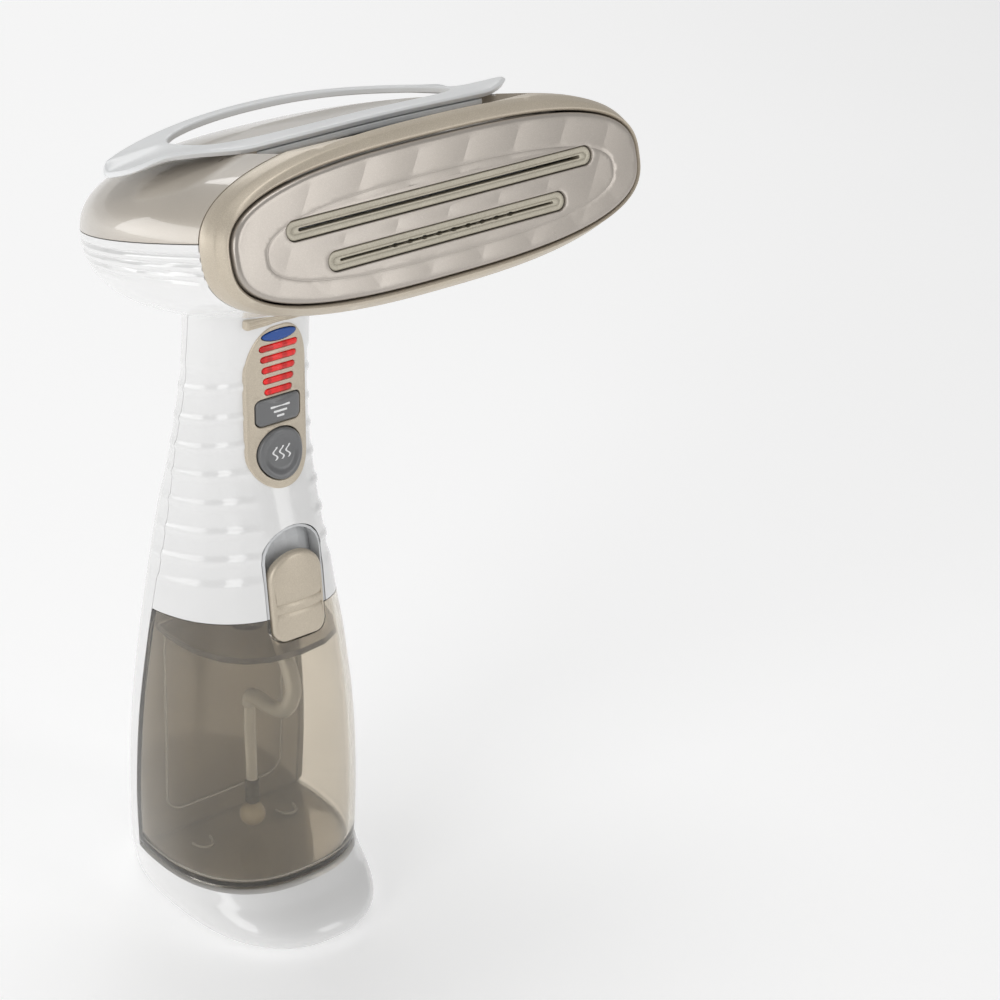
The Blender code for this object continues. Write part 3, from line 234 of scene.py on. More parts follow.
def plain_plastic(name, colour, roughness, grain, coat=0.0):
    """Moulded plastic: faint flow marks, orange peel and a fine grain."""
    made = Finish(name, colour, roughness, Coat_Weight=coat, Coat_Roughness=0.04)
    tone = made.vary(22, 0.018, roughness * 0.18)
    # Sharp edges are made slightly lighter.
    made.over(tone, made.ramp(made.edge_wear_and_highlight(0.5, 0.62), 0, 1, 0.0, 0.35),
              tuple(min(c * 1.08, 1.0) for c in colour))
    made.bump((made.noise(190, 1.0), 0.12, 0.05), (made.noise(5200, 2.0), 0.25, grain))
    return made.made


def flaked(made, drift, scale, start, share, colour):
    """Fine flakes of a second colour over a slow drift of the first."""
    tone = made.vary(*drift)
    return made.over(tone, made.ramp(made.flakes(scale), start, 1.0, 0.0, share), colour)


def champagne_gloss():
    made = Finish("champagne_gloss", (0.505, 0.452, 0.382), 0.30, Metallic=0.15,
                  Coat_Weight=0.7, Coat_Roughness=0.03, Coat_IOR=1.5)
    flaked(made, (30, 0.03, 0.03), 7000, 0.55, 0.14, (0.74, 0.67, 0.57))
    made.bump((made.noise(120, 1.0), 0.05, 0.05), (made.noise(6000, 2.0), 0.2, 0.003))
    return made.made


def champagne_metallic():
    made = Finish("champagne_metallic", (0.560, 0.490, 0.390), 0.38, Metallic=0.38)
    shine = flaked(made, (40, 0.03, 0.04), 7500, 0.45, 0.40, (0.84, 0.76, 0.63))
    # Convex edges painted lighter: a painted highlight along the edges of the bezel, panel, collar
    # and latch.
    made.over(shine, made.ramp(made.edge_wear_and_highlight(0.52, 0.66), 0, 1, 0.0, 0.5), (0.80, 0.72, 0.60))
    made.bump((made.flakes(7500), 0.25, 0.005), (made.noise(2500, 2.0), 0.25, 0.008))
    return made.made


def pearl_plate():
    made = Finish("pearl_plate", (0.455, 0.413, 0.368), 0.30, Metallic=0.50,
                  Coat_Weight=0.25, Coat_Roughness=0.10)
    flaked(made, (26, 0.03, 0.03), 9000, 0.5, 0.20, (0.80, 0.74, 0.68))
    made.bump((made.noise(4200, 3.0), 0.3, 0.004))
    return made.made


def slot_insert():
    made = Finish("slot_insert", (0.500, 0.462, 0.372), 0.42, Metallic=0.35)
    flaked(made, (60, 0.05, 0.05), 4200, 0.5, 0.35, (0.74, 0.70, 0.58))
    made.bump((made.noise(2600, 3.0), 0.4, 0.012))
    return made.made


def brushed(name, colour, roughness, stretch, metallic, scale, depth):
    """Metal with fine drawn or cast marks and a faint stain."""
    made = Finish(name, colour, roughness, Metallic=metallic)
    tone = made.vary(70, 0.10, roughness * 0.25)
    made.over(tone, made.ramp(made.noise(35, 4.0), 0.55, 0.8, 0.0, 0.25),
              tuple(c * 0.72 for c in colour))
    made.bump((made.noise(scale, 4.0, stretch), 0.5, depth))
    return made.made


def rubber(name, colour, roughness):
    made = Finish(name, colour, roughness, Sheen_Weight=0.15)
    tone = made.vary(90, 0.14, 0.06)
    made.over(tone, made.ramp(made.edge_wear_and_highlight(0.5, 0.62), 0, 1, 0.0, 0.4),
              tuple(min(c * 1.7 + 0.01, 1.0) for c in colour))
    made.bump((made.noise(2800, 3.0), 0.4, 0.02))
    return made.made


def soft_pad():
    made = Finish("soft_pad", (0.70, 0.71, 0.71), 0.8, Sheen_Weight=0.5, Sheen_Roughness=0.4)
    made.vary(120, 0.06)
    made.bump((made.flakes(2400), 0.5, 0.04), (made.noise(5200, 4.0), 0.6, 0.03))
    return made.made


def see_through(name, colour, share, roughness):
    """Clear tinted plastic, a little uneven from moulding."""
    made = Finish(name, colour, roughness, Transmission_Weight=share, IOR=1.45)
    made.vary(35, 0.02, roughness * 0.4)
    made.bump((made.noise(140, 1.0), 0.05, 0.05))
    return made.made


def red_light():
    made = Finish("red_light", (0.66, 0.010, 0.010), 0.30, Coat_Weight=0.12,
                  Emission_Color=(1.0, 0.012, 0.01, 1.0), Emission_Strength=0.22)
    cells = made.noise(260, 1.0, (1.0, 0.05, 0.05))
    made.over(made.vary(90, 0.05, 0.04), made.ramp(cells, 0.52, 0.60, 0.0, 0.75),
              (0.20, 0.0, 0.0))
    made.bump((made.noise(900, 2.0), 0.1, 0.02))
    return made.made


def make_finishes():
    """Every finish by its slot name, from the values that each kind of finish takes."""
    kinds = {
        plain_plastic: {
            "gloss_white": ((0.845, 0.843, 0.838), 0.20, 0.006, 0.55),
            "ceramic": ((0.80, 0.78, 0.72), 0.55, 0.02),
            "frame_grey": ((0.775, 0.785, 0.788), 0.34, 0.035, 0.10),
            "dark_plastic": ((0.13, 0.13, 0.13), 0.38, 0.02),
            "button_grey": ((0.155, 0.157, 0.160), 0.30, 0.012, 0.25),
            "pale_plastic": ((0.64, 0.65, 0.66), 0.30, 0.01, 0.3),
            "blue_lens": ((0.006, 0.070, 0.33), 0.20, 0.004, 0.25),
            "board_green": ((0.02, 0.16, 0.07), 0.4, 0.03),
            "beige_ball": ((0.50, 0.43, 0.31), 0.34, 0.02),
            "print_white": ((0.86, 0.86, 0.86), 0.5, 0.01),
        },
        brushed: {
            "cast_aluminium": ((0.60, 0.61, 0.62), 0.48, (1, 1, 1), 1.0, 900, 0.05),
            "steel": ((0.62, 0.62, 0.63), 0.26, (1, 1, 12), 1.0, 600, 0.006),
            "copper": ((0.62, 0.26, 0.12), 0.34, (1, 1, 40), 0.9, 90, 0.12),
        },
        rubber: {
            "dark_rubber": ((0.028, 0.028, 0.030), 0.62),
            "olive_sleeve": ((0.060, 0.054, 0.036), 0.5),
            "lead_grey": ((0.22, 0.22, 0.22), 0.62),
        },
        see_through: {
            "silicone": ((0.90, 0.88, 0.82), 0.55, 0.20),
            "smoke_clear": ((0.865, 0.812, 0.725), 0.95, 0.03),
            "smoke_lid": ((0.600, 0.560, 0.500), 0.85, 0.10),
        },
    }
    made = {name: kind(name, *values) for kind, rows in kinds.items()
            for name, values in rows.items()}
    for kind in (champagne_gloss, champagne_metallic, pearl_plate, slot_insert, soft_pad,
                 red_light):
        made[kind.__name__] = kind()
    return made


# ---- outlines and sections

def between(levels, at, column):
    """Catmull-Rom value of a column of levels at a height."""
    last = len(levels) - 1
    if at <= levels[0][0]:
        return levels[0][column]
    if at >= levels[last][0]:
        return levels[last][column]
    k = max(i for i in range(last) if levels[i][0] <= at)
    before, low, high, after = (levels[min(max(k + d, 0), last)] for d in (-1, 0, 1, 2))
    span = high[0] - low[0]
    t = (at - low[0]) / span
    rise_low = (high[column] - before[column]) / max(high[0] - before[0], 1e-6) * span
    rise_high = (after[column] - low[column]) / max(after[0] - low[0], 1e-6) * span
    return ((2 * t**3 - 3 * t**2 + 1) * low[column] + (t**3 - 2 * t**2 + t) * rise_low
            + (3 * t**2 - 2 * t**3) * high[column] + (t**3 - t**2) * rise_high)


def power_of(value, power):
    return math.copysign(abs(value) ** power, value)


def ease(low, high, value):
    t = min(max((value - low) / (high - low), 0.0), 1.0)
    return t * t * (3 - 2 * t)


def spread(low, high, count):
    return [low + (high - low) * i / (count - 1) for i in range(count)]


def oval(half, low, high, middle, power, count=160):
    points = []
    for i in range(count):
        turn = math.tau * i / count
        side, up = math.cos(turn), math.sin(turn)
        reach = high - middle if up > 0 else middle - low
        points.append((half * power_of(side, 2 / power), middle + reach * power_of(up, 2 / power)))
    return points


def stadium(half, centre, high, segments=16):
    points = []
    for side in (1, -1):
        for i in range(segments + 1):
            turn = math.pi * (i / segments - 0.5)
            points.append((side * (half - high + high * math.cos(turn)),
                           centre + side * high * math.sin(turn)))
    return points


def rounded_box(half_x, half_y, centre, radius, segments=8):
    points = []
    for quarter in range(4):
        sx = 1 if quarter in (0, 3) else -1
        sy = 1 if quarter in (0, 1) else -1
        for i in range(segments + 1):
            turn = math.pi / 2 * (quarter + i / segments)
            points.append((sx * (half_x - radius) + radius * math.cos(turn),
                           centre + sy * (half_y - radius) + radius * math.sin(turn)))
    return points


def circle(radius, centre, count=72):
    return [(centre[0] + radius * math.cos(math.tau * i / count),
             centre[1] + radius * math.sin(math.tau * i / count)) for i in range(count)]


def leaf(half_x, half_z, centre):
    points = []
    for side in (1, -1):
        for i in range(16):
            t = i / 16
            points.append((side * half_x * math.cos(math.pi * t),
                           centre + side * half_z * math.sin(math.pi * t)))
    return points


def panel_outline(grow=0.0):
    half, low = PANEL_HALF + grow, PANEL_LOW + PANEL_HALF
    points = [(half * math.cos(t), low + half * math.sin(t))
              for t in spread(math.pi, 2 * math.pi, 32)]
    wide, high = PANEL_CORNER
    corner = [(half - wide + wide * math.cos(t), PANEL_HIGH + grow - high + high * math.sin(t))
              for t in spread(0, math.pi / 2, 20)]
    return points + corner + [(-x, z) for x, z in reversed(corner)]


def latch_outline(half, low, high, top_round, corner=4.5):
    corners = [(half - corner + corner * math.sin(t), low + corner - corner * math.cos(t))
               for t in spread(0, math.pi / 2, 9)]
    top = [(half * math.cos(t), high - top_round + top_round * math.sin(t))
           for t in spread(0, math.pi, 36)]
    return [(-x, z) for x, z in reversed(corners)] + corners + top


def seam_y(z):
    return between(SEAM_LEVELS, z, 1)


def join_z(y):
    return JOIN_HEIGHT + JOIN_SLOPE * y


def section(z, levels=BODY_LEVELS):
    return [between(levels, z, column) for column in (1, 2, 3)]


def rib_inset(z, share):
    """How far the grip is let in between its ribs."""
    if not RIB_HEIGHTS[-1] - RIB_END < z < RIB_HEIGHTS[0] + RIB_END:
        return 0.0
    away = min(abs(z - rib) for rib in RIB_HEIGHTS)
    fade = min(ease(RIB_END, RIB_FADE, z - RIB_HEIGHTS[0]),
               ease(-RIB_END, -RIB_FADE, z - RIB_HEIGHTS[-1]))
    return RIB_DEPTH * ease(0.4, 2.2, away) * ease(0.38, 0.62, share) * fade


def body_ring(z, grow=0.0, levels=BODY_LEVELS, ribbed=False, count=160):
    half, front, back = section(z, levels)
    half, front, back = half + grow, front - grow, back + grow
    middle = (front + back) / 2
    points = []
    for x, y in oval(half, front, back, middle, BODY_ROUND, count):
        shrink = 1.0
        if ribbed:
            behind = y - seam_y(z)
            fade = 1 - ease(3, 14, behind)
            shrink = 1 - rib_inset(z + RIB_SLOPE * behind, abs(x) / half) * fade / half
        points.append((x * shrink, (y - middle) * shrink + middle, z))
    return points


def face_y(x, z, grow=0.0):
    """Y of the grip's front surface at a place seen from the front, moved out by grow."""
    half, front, back = section(z)
    middle = (front + back) / 2
    share = min(abs(x) / (half + grow), 1.0)
    return middle - (middle - front + grow) * (1 - share**BODY_ROUND) ** (1 / BODY_ROUND)


def head_point(x, s, v):
    return (PLATE_POINT[0] + x, PLATE_POINT[1] + s * math.cos(TILT) + v * math.sin(TILT),
            PLATE_POINT[2] - s * math.sin(TILT) + v * math.cos(TILT))


def dome(s, grow, start, end):
    t = max((s - BEZEL_DEPTH) / (HEAD_DEPTH + grow - BEZEL_DEPTH), 0.0)
    return max(1 - t**start, 0.0) ** (1 / end)


def head_shape(s, grow=0.0):
    middle = 8.0 - 4.0 * s / HEAD_DEPTH
    half = (HEAD_HALF + grow) * dome(s, grow, 2.3, 2.3)
    top = middle + (HEAD_HIGH + grow - middle) * dome(s, grow, 3.0, 2.2)
    sink = 14.0 * (1 - math.exp(-((max(s - BEZEL_DEPTH, 0) / 62.0) ** 2)))
    bottom = middle + (HEAD_LOW - grow - sink - middle) * dome(s, grow, 6.0, 2.0)
    return half, bottom, top, middle


def seam_v(s):
    return HEAD_SEAM - HEAD_SEAM_DROP * s


def groove(s, v):
    """Depth of the fine lines that run round the head's white shell under its seam."""
    below = seam_v(s) - v
    deep = max(0.0, *(1 - abs(below - line) / GROOVE_HALF for line in GROOVE_LINES))
    return GROOVE_DEPTH * ease(0, 1, deep)


def head_ring(s, grow=0.0, count=160, grooved=False):
    half, bottom, top, middle = head_shape(s, grow)
    belly = 2.6 - 0.7 * min(max((s - BEZEL_DEPTH) / 70.0, 0.0), 1.0)
    turns = [math.tau * i / count for i in range(count)]
    if grooved:
        turns = []
        for quarter in range(4):
            for i in range(count // 4):
                t = i / (count // 4)
                near = t**1.8 if quarter in (0, 2) else 1 - (1 - t) ** 1.8
                turns.append(math.pi / 2 * (quarter + near))
    points = []
    for turn in turns:
        side, up = math.cos(turn), math.sin(turn)
        power = 2.6 if up > 0 else belly
        reach = top - middle if up > 0 else middle - bottom
        x, v = half * power_of(side, 2 / power), middle + reach * power_of(up, 2 / power)
        shrink = 1 - (groove(s, v) / max(half, 8.0) if grooved else 0.0)
        points.append(head_point(x * shrink, s, middle + (v - middle) * shrink))
    return points


def plate_outline(grow=0.0):
    return oval(PLATE_HALF + grow, PLATE_LOW - grow, PLATE_HIGH + grow,
                (PLATE_HIGH + PLATE_LOW) / 2, 2.8, 200)


def bezel_outline(grow=0.0):
    return oval(HEAD_HALF + grow, HEAD_LOW - grow, HEAD_HIGH + grow,
                head_shape(BEZEL_DEPTH)[3], 2.6, 200)


# ---- solids

def shaded(mesh):
    mesh.shade_smooth()
    mesh.set_sharp_from_angle(angle=SHARP_ANGLE)


def solid(name, bm):
    """An object from a bmesh in millimetres, its normals facing out."""
    bmesh.ops.recalc_face_normals(bm, faces=bm.faces)
    bmesh.ops.scale(bm, vec=(MM, MM, MM), verts=bm.verts)
    mesh = bpy.data.meshes.new(name)
    bm.to_mesh(mesh)
    bm.free()
    shaded(mesh)
    obj = bpy.data.objects.new(name, mesh)
    bpy.context.scene.collection.objects.link(obj)
    return obj


def loft(name, rings, closed=False):
    bm = bmesh.new()
    rows = [[bm.verts.new(point) for point in ring] for ring in rings]
    pairs = list(zip(rows, rows[1:]))
    if closed:
        pairs.append((rows[-1], rows[0]))
    for low, high in pairs:
        for i in range(len(low)):
            j = (i + 1) % len(low)
            bm.faces.new((low[i], low[j], high[j], high[i]))
    if not closed:
        bm.faces.new(rows[0])
        bm.faces.new(rows[-1])
    return solid(name, bm)


def soft_rings(rings, share=0.22):
    """Closed set of rings with each corner of their profile rounded."""
    made = []
    for before, ring, after in zip([rings[-1], *rings], rings, [*rings[1:], rings[0]]):
        a, b, c = (np.array(r, float) for r in (before, ring, after))
        start, end = b + (a - b) * share, b + (c - b) * share
        middle = 0.25 * start + 0.5 * b + 0.25 * end
        made += [start, 0.5 * (start + middle) + 0.04 * (b - middle), middle,
                 0.5 * (end + middle) + 0.04 * (b - middle), end]
    return [ring.tolist() for ring in made]


def prism(name, outline, axis, start, end):
    bm = bmesh.new()
    place = {"X": lambda u, v, w: (w, u, v), "Y": lambda u, v, w: (u, w, v),
             "Z": lambda u, v, w: (u, v, w), "S": lambda u, v, w: head_point(u, w, v),
             "V": lambda u, v, w: head_point(u, v, w)}[axis]
    ends = [[bm.verts.new(place(u, v, w)) for u, v in outline] for w in (start, end)]
    for i in range(len(outline)):
        j = (i + 1) % len(outline)
        bm.faces.new((ends[0][i], ends[0][j], ends[1][j], ends[1][i]))
    bm.faces.new(ends[0])
    bm.faces.new(ends[1])
    return solid(name, bm)


def rod(name, radius, start, end):
    bm = bmesh.new()
    start, end = Vector(start), Vector(end)
    bmesh.ops.create_cone(bm, cap_ends=True, segments=48, radius1=radius, radius2=radius,
                          depth=(end - start).length)
    turn = Vector((0, 0, 1)).rotation_difference(end - start).to_matrix()
    bmesh.ops.rotate(bm, cent=(0, 0, 0), matrix=turn, verts=bm.verts)
    bmesh.ops.translate(bm, vec=(start + end) / 2, verts=bm.verts)
    return solid(name, bm)


def turned(profile, centre, steps):
    """Rings of a turned piece from (radius, height) points, its axis upright."""
    rings = []
    for r, z in profile:
        ring = []
        for i in range(steps):
            turn = math.tau * i / steps
            spot = (r * math.cos(turn), r * math.sin(turn), z)
            ring.append([c + p for c, p in zip(centre, spot)])
        rings.append(ring)
    return rings


def carve(obj, *cuts, within=()):
    """Keeps what lies within some solids, then takes others away, and clears the helpers."""
    steps = [("INTERSECT", other) for other in within]
    steps += [("DIFFERENCE", other) for other in cuts]
    for operation, other in steps:
        step = obj.modifiers.new("step", "BOOLEAN")
        step.operation = operation
        step.object = other
        step.solver = "EXACT"
    bpy.context.view_layer.update()
    graph = bpy.context.evaluated_depsgraph_get()
    mesh = bpy.data.meshes.new_from_object(obj.evaluated_get(graph))
    obj.modifiers.clear()
    obj.data = mesh
    shaded(mesh)
    for _, other in steps:
        bpy.data.objects.remove(other, do_unlink=True)
    return obj


def finished(obj, slot, body, *nodes):
    """Gives a piece its finish and its body, and hides the CAD nodes that it stands for."""
    obj.data.materials.clear()
    obj.data.materials.append(FINISHES[slot])
    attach(obj, body)
    if nodes:
        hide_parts(*nodes)
    return obj


def away_from(points, loop):
    """Distance of each point from a closed outline."""
    p = np.asarray(points, float)
    a = np.asarray(loop, float)
    b = np.roll(a, -1, axis=0)
    along = b - a
    best = np.full(len(p), 1e9)
    for start, step in zip(a, along):
        t = np.clip(((p - start) @ step) / max(step @ step, 1e-12), 0, 1)
        best = np.minimum(best, np.linalg.norm(p - start - t[:, None] * step, axis=1))
    return best


def inside(points, loop):
    p = np.asarray(points, float)
    a = np.asarray(loop, float)
    b = np.roll(a, -1, axis=0)
    crossed = np.zeros(len(p), bool)
    for (x0, y0), (x1, y1) in zip(a, b):
        if y0 == y1:
            continue
        spans = (y0 > p[:, 1]) != (y1 > p[:, 1])
        crossed ^= spans & (p[:, 0] < (x1 - x0) * (p[:, 1] - y0) / (y1 - y0) + x0)
    return crossed


def moved_in(loop, by):
    """A closed outline moved to its left by a distance, which is inwards when it turns left."""
    a = np.asarray(loop, float)
    step = np.roll(a, -1, axis=0) - np.roll(a, 1, axis=0)
    step /= np.maximum(np.linalg.norm(step, axis=1), 1e-9)[:, None]
    return a + by * np.stack([-step[:, 1], step[:, 0]], axis=1)


def turns_left(loop):
    a = np.asarray(loop, float)
    b = np.roll(a, -1, axis=0)
    return (a[:, 0] * b[:, 1] - b[:, 0] * a[:, 1]).sum() > 0


def thinned(loop):
    kept, least = [], 0.02
    for point in loop:
        if not kept or math.dist(point, kept[-1]) > least:
            kept.append(tuple(point))
    if math.dist(kept[0], kept[-1]) <= least:
        kept.pop()
    return kept if turns_left(kept) else kept[::-1]


def plate(name, outline, place, height, under, holes=(), edge=0.5, hole_edge=0.3, step=1.2,
          lines=(), folds=()):
    """A plate seen face on: rounded at its rim and holes, following height(u, v) on top."""
    outline = thinned(outline)
    holes = [thinned(hole) for hole in holes]
    shares = [1 - math.cos(math.pi / 2 * i / 4) for i in range(5)]
    loops = [moved_in(outline, edge * share) for share in shares]
    for hole in holes:
        loops += [moved_in(hole, -hole_edge * share) for share in shares]
    for line, width, _ in lines:
        loops += [moved_in(line, width * k) for k in (-1, -0.5, 0, 0.5, 1)]
    flat, edges = [], []
    for loop in loops:
        first = len(flat)
        flat += [tuple(p) for p in loop]
        edges += [(first + i, first + (i + 1) % len(loop)) for i in range(len(loop))]
    for fold in folds:
        away = away_from(fold, outline)
        clear = np.min([away_from(fold, loop) for loop in loops], axis=0) > 0.3 * step
        clear &= inside(fold, outline) & (away > edge)
        for hole in holes:
            clear &= ~inside(fold, hole)
        before = None
        for spot, good in zip(fold, clear):
            if good:
                if before is not None:
                    edges.append((before, len(flat)))
                before = len(flat)
                flat.append(tuple(spot))
            else:
                before = None
    low, high = np.min(outline, axis=0), np.max(outline, axis=0)
    grid = np.array([(u, v) for v in np.arange(low[1] + step / 2, high[1], step)
                     for u in np.arange(low[0] + step / 2, high[0], step)])
    grid = grid[inside(grid, outline)]
    near = np.min([away_from(grid, loop) for loop in loops], axis=0)
    grid = grid[(near > 0.45 * step) & (away_from(grid, outline) > edge)]
    if folds:
        met = np.concatenate(folds)
        near = np.array([np.min(np.hypot(*(met - spot).T)) for spot in grid])
        grid = grid[near > 0.5 * step]
    for hole in holes:
        grid = grid[~inside(grid, hole)]
    flat += [tuple(p) for p in grid]
    spots, _, faces = delaunay_2d_cdt([Vector(p) for p in flat], edges, [], 0, 1e-4)[:3]
    spots = np.array([tuple(p) for p in spots])
    faces = np.array([tuple(f) for f in faces])
    middles = spots[faces].mean(axis=1)
    kept = inside(middles, outline)
    for hole in holes:
        kept &= ~inside(middles, hole)
    faces = faces[kept]
    rise = np.array([height(u, v) for u, v in spots])

    def rounding(away, radius):
        t = np.clip(away / radius, 0, 1)
        return radius * (1 - np.sqrt(np.clip(1 - (1 - t) ** 2, 0, 1)))

    rise -= rounding(away_from(spots, outline), edge)
    for hole in holes:
        rise -= rounding(away_from(spots, hole), hole_edge)
    for line, width, depth in lines:
        rise -= depth * np.clip(1 - away_from(spots, line) / width, 0, 1)
    bm = bmesh.new()
    top = [bm.verts.new(place(u, v, h)) for (u, v), h in zip(spots, rise)]
    bottom = [bm.verts.new(place(u, v, under)) for u, v in spots]
    count = {}
    for a, b, c in faces:
        bm.faces.new((top[a], top[b], top[c]))
        bm.faces.new((bottom[c], bottom[b], bottom[a]))
        for pair in ((a, b), (b, c), (c, a)):
            count.setdefault(tuple(sorted(pair)), []).append(pair)
    for pairs in count.values():
        if len(pairs) == 1:
            a, b = pairs[0]
            bm.faces.new((top[b], top[a], bottom[a], bottom[b]))
    for vert in [v for v in bm.verts if not v.link_faces]:
        bm.verts.remove(vert)
    return solid(name, bm)


def on_grip(u, v, h):
    """Place on the grip's front at (u, v) seen from the front, h out from its surface."""
    return (u, face_y(u, v, h), v)


def on_plate(u, v, h):
    return head_point(u, -h, v)


def tube(name, points, radius, resolution):
    curve = bpy.data.curves.new(name, "CURVE")
    curve.dimensions = "3D"
    curve.bevel_depth = radius * MM
    curve.bevel_resolution = resolution
    curve.use_fill_caps = True
    spline = curve.splines.new("POLY")
    spline.points.add(len(points) - 1)
    for point, spot in zip(spline.points, points):
        point.co = (*(Vector(spot) * MM), 1.0)
    spline.use_smooth = True
    obj = bpy.data.objects.new(name, curve)
    bpy.context.scene.collection.objects.link(obj)
    return obj


def smooth_route(points, step):
    points = [Vector(p) for p in points]
    padded = [2 * points[0] - points[1], *points, 2 * points[-1] - points[-2]]
    route = [points[0]]
    for a, b, c, d in zip(padded, padded[1:], padded[2:], padded[3:]):
        count = max(round((c - b).length / step), 1)
        for i in range(1, count + 1):
            t = i / count
            route.append(0.5 * (2 * b + (c - a) * t + (2 * a - 5 * b + 4 * c - d) * t**2
                                + (3 * b - a - 3 * c + d) * t**3))
    return route


def seam_prism(name, shift, low=-20.0):
    """Everything in front of the seam between the grip or tank and the back housing."""
    high = SEAM_LEVELS[-1][0]
    side = [(seam_y(z) + shift, z) for z in spread(low, high, 60)]
    return prism(name, [(-95, low), *side, (-95, high)], "X", -60, 60)


def join_prism(name, shift):
    """Everything below the join between the tank and the grip."""
    ends = [(y, join_z(y) + shift) for y in (-90, 90)]
    return prism(name, [*ends, (90, -20), (-90, -20)], "X", -60, 60)


# ---- head

def facet_folds(x, v):
    """How many facets of each slanting family lie to the left of a place on the plate."""
    right, left = FACET_SHIFTS
    return (x - FACET_LEAN * v + right) / FACET_PITCH, (x + FACET_LEAN * v + left) / FACET_PITCH


def facets(x, v):
    """Height of the plate's facets: shallow arches between slanting folds."""
    right, left = (4 * (t % 1.0) * (1 - t % 1.0) for t in facet_folds(x, v))
    low = ease(6.0, -2.0, v)
    return (0.12 - 0.05 * low) * right + 0.06 * low * left - 0.1


def fold_lines(step):
    """Both families of folds as runs of points that cover the plate."""
    lines = []
    for lean, shift in zip((FACET_LEAN, -FACET_LEAN), FACET_SHIFTS):
        for k in range(-6, 7):
            lines.append([(FACET_PITCH * k - shift + lean * v, v)
                          for v in np.arange(PLATE_LOW + 1.7, PLATE_HIGH - 1.7, step)])
    return lines


def crease(obj):
    """Marks the plate's folds sharp, so that each facet catches the light on its own."""
    mesh = obj.data
    spots = np.empty(len(mesh.vertices) * 3)
    mesh.vertices.foreach_get("co", spots)
    spots = spots.reshape(-1, 3) / MM - np.array(PLATE_POINT)
    up = spots[:, 1] * math.sin(TILT) + spots[:, 2] * math.cos(TILT)
    out = spots[:, 2] * math.sin(TILT) - spots[:, 1] * math.cos(TILT)
    folds = np.stack(facet_folds(spots[:, 0], up), axis=1)
    whole = np.round(folds)
    for edge in mesh.edges:
        a, b = edge.vertices
        met = (np.abs(folds[[a, b]] - whole[[a, b]]) < 2e-4).all(axis=0)
        if (met & (whole[a] == whole[b])).any() and min(out[a], out[b]) > 0:
            edge.use_edge_sharp = True


def make_plate():
    slots = [stadium(half, centre, SLOT_HALF) for half, centre in (UPPER_SLOT, LOWER_SLOT)]

    def height(x, v):
        edge = 1 - (abs(x) / PLATE_HALF) ** 2.8 - (abs(v - 7.5) / 20.5) ** 2.8
        near = min(away_from([(x, v)], slot)[0] for slot in slots) if abs(v - 5.7) < 11 else 9.0
        shown = ease(0.0, 0.16, edge) * ease(0.4, 1.6, near)
        return PLATE_PROUD - 0.12 + facets(x, v) * shown

    contour = oval(64.5, -6.6, 18.0, 5.7, 2.6, 180)
    made = plate("steam_plate", plate_outline(), on_plate, height, -3.4, slots, 1.5, 0.25, 1.1,
                 [(contour, 0.32, 0.10)], fold_lines(1.0))
    crease(made)
    finished(made, "pearl_plate", "housing", "soleplate")
    for label, (half, centre) in (("upper", UPPER_SLOT), ("lower", LOWER_SLOT)):
        slit = stadium(half - 4.6, centre, 0.5 if label == "upper" else 0.36, 5)
        line = stadium(half - 2.2, centre, SLOT_HALF - 2.0, 8)
        insert = plate(label + "_insert", stadium(half - GAP, centre, SLOT_HALF - GAP), on_plate,
                       lambda x, v: PLATE_PROUD - 0.75, -3.2, [slit], 0.35, 0.15, 1.0,
                       [(line, 0.16, 0.12)])
        if label == "lower":
            vents = [prism("vent", [(x + 5.4 * i - 20, v)
                                    for x, v in rounded_box(0.9, 0.62, centre, 0.5, 4)],
                           "S", -3, 2) for i in range(9)]
            carve(insert, *vents)
        finished(insert, "slot_insert", "housing", label + "_steam_insert")


def make_bezel():
    def at(outline, s):
        return [head_point(x, s, v) for x, v in outline]
    rings = [at(bezel_outline(), BEZEL_DEPTH), at(bezel_outline(-0.1), 8.0),
             at(bezel_outline(-0.7), 4.0), at(bezel_outline(-2.3), 0.9),
             at(plate_outline(1.4), -0.2), at(plate_outline(0.6), 0.5),
             at(plate_outline(0.5), 4.4), at(bezel_outline(-3.2), 4.8),
             at(bezel_outline(-2.3), BEZEL_DEPTH)]
    bezel = loft("bezel_ring", soft_rings(rings, 0.2), closed=True)
    notch = [(-46, 34), (-47.5, 60), (47.5, 60), (46, 34), (45, 32.1), (-45, 32.1)]
    carve(bezel, prism("notch", notch, "S", 3.2, 16))
    finished(bezel, "champagne_metallic", "housing", "bezel")


def head_depths(count):
    """Depths from the bezel to the back end, closer together as the dome turns in."""
    start = BEZEL_DEPTH + GAP
    return [start + (HEAD_DEPTH - 0.25 - start) * math.sin(math.pi / 2 * t) ** 1.15
            for t in spread(0, 1, count)]


def seam_block(name, shift, above):
    ends = [(s, seam_v(s) + shift) for s in (-10, 170)]
    far = 90 if above else -90
    outline = [head_point(0, s, v)[1:] for s, v in (*ends, (170, far), (-10, far))]
    return prism(name, outline, "X", -100, 100)


def rider_height(x, s):
    back = (s - RIDER_FRONT) / (RIDER_BACK - RIDER_FRONT)
    lift = RIDER_LIFT * ease(*RIDER_LIFT_SPAN, abs(x)) * max(1 - 1.2 * back, 0.0)
    bow = RIDER_BOW_FRONT * (1 - back) + RIDER_BOW_BACK * back
    droop = RIDER_DROOP * ease(*RIDER_DROOP_SPAN, abs(x)) + bow * (x / RIDER_HALF) ** 2
    return RIDER_HEIGHT + RIDER_RISE * (s - RIDER_FRONT) + lift - droop


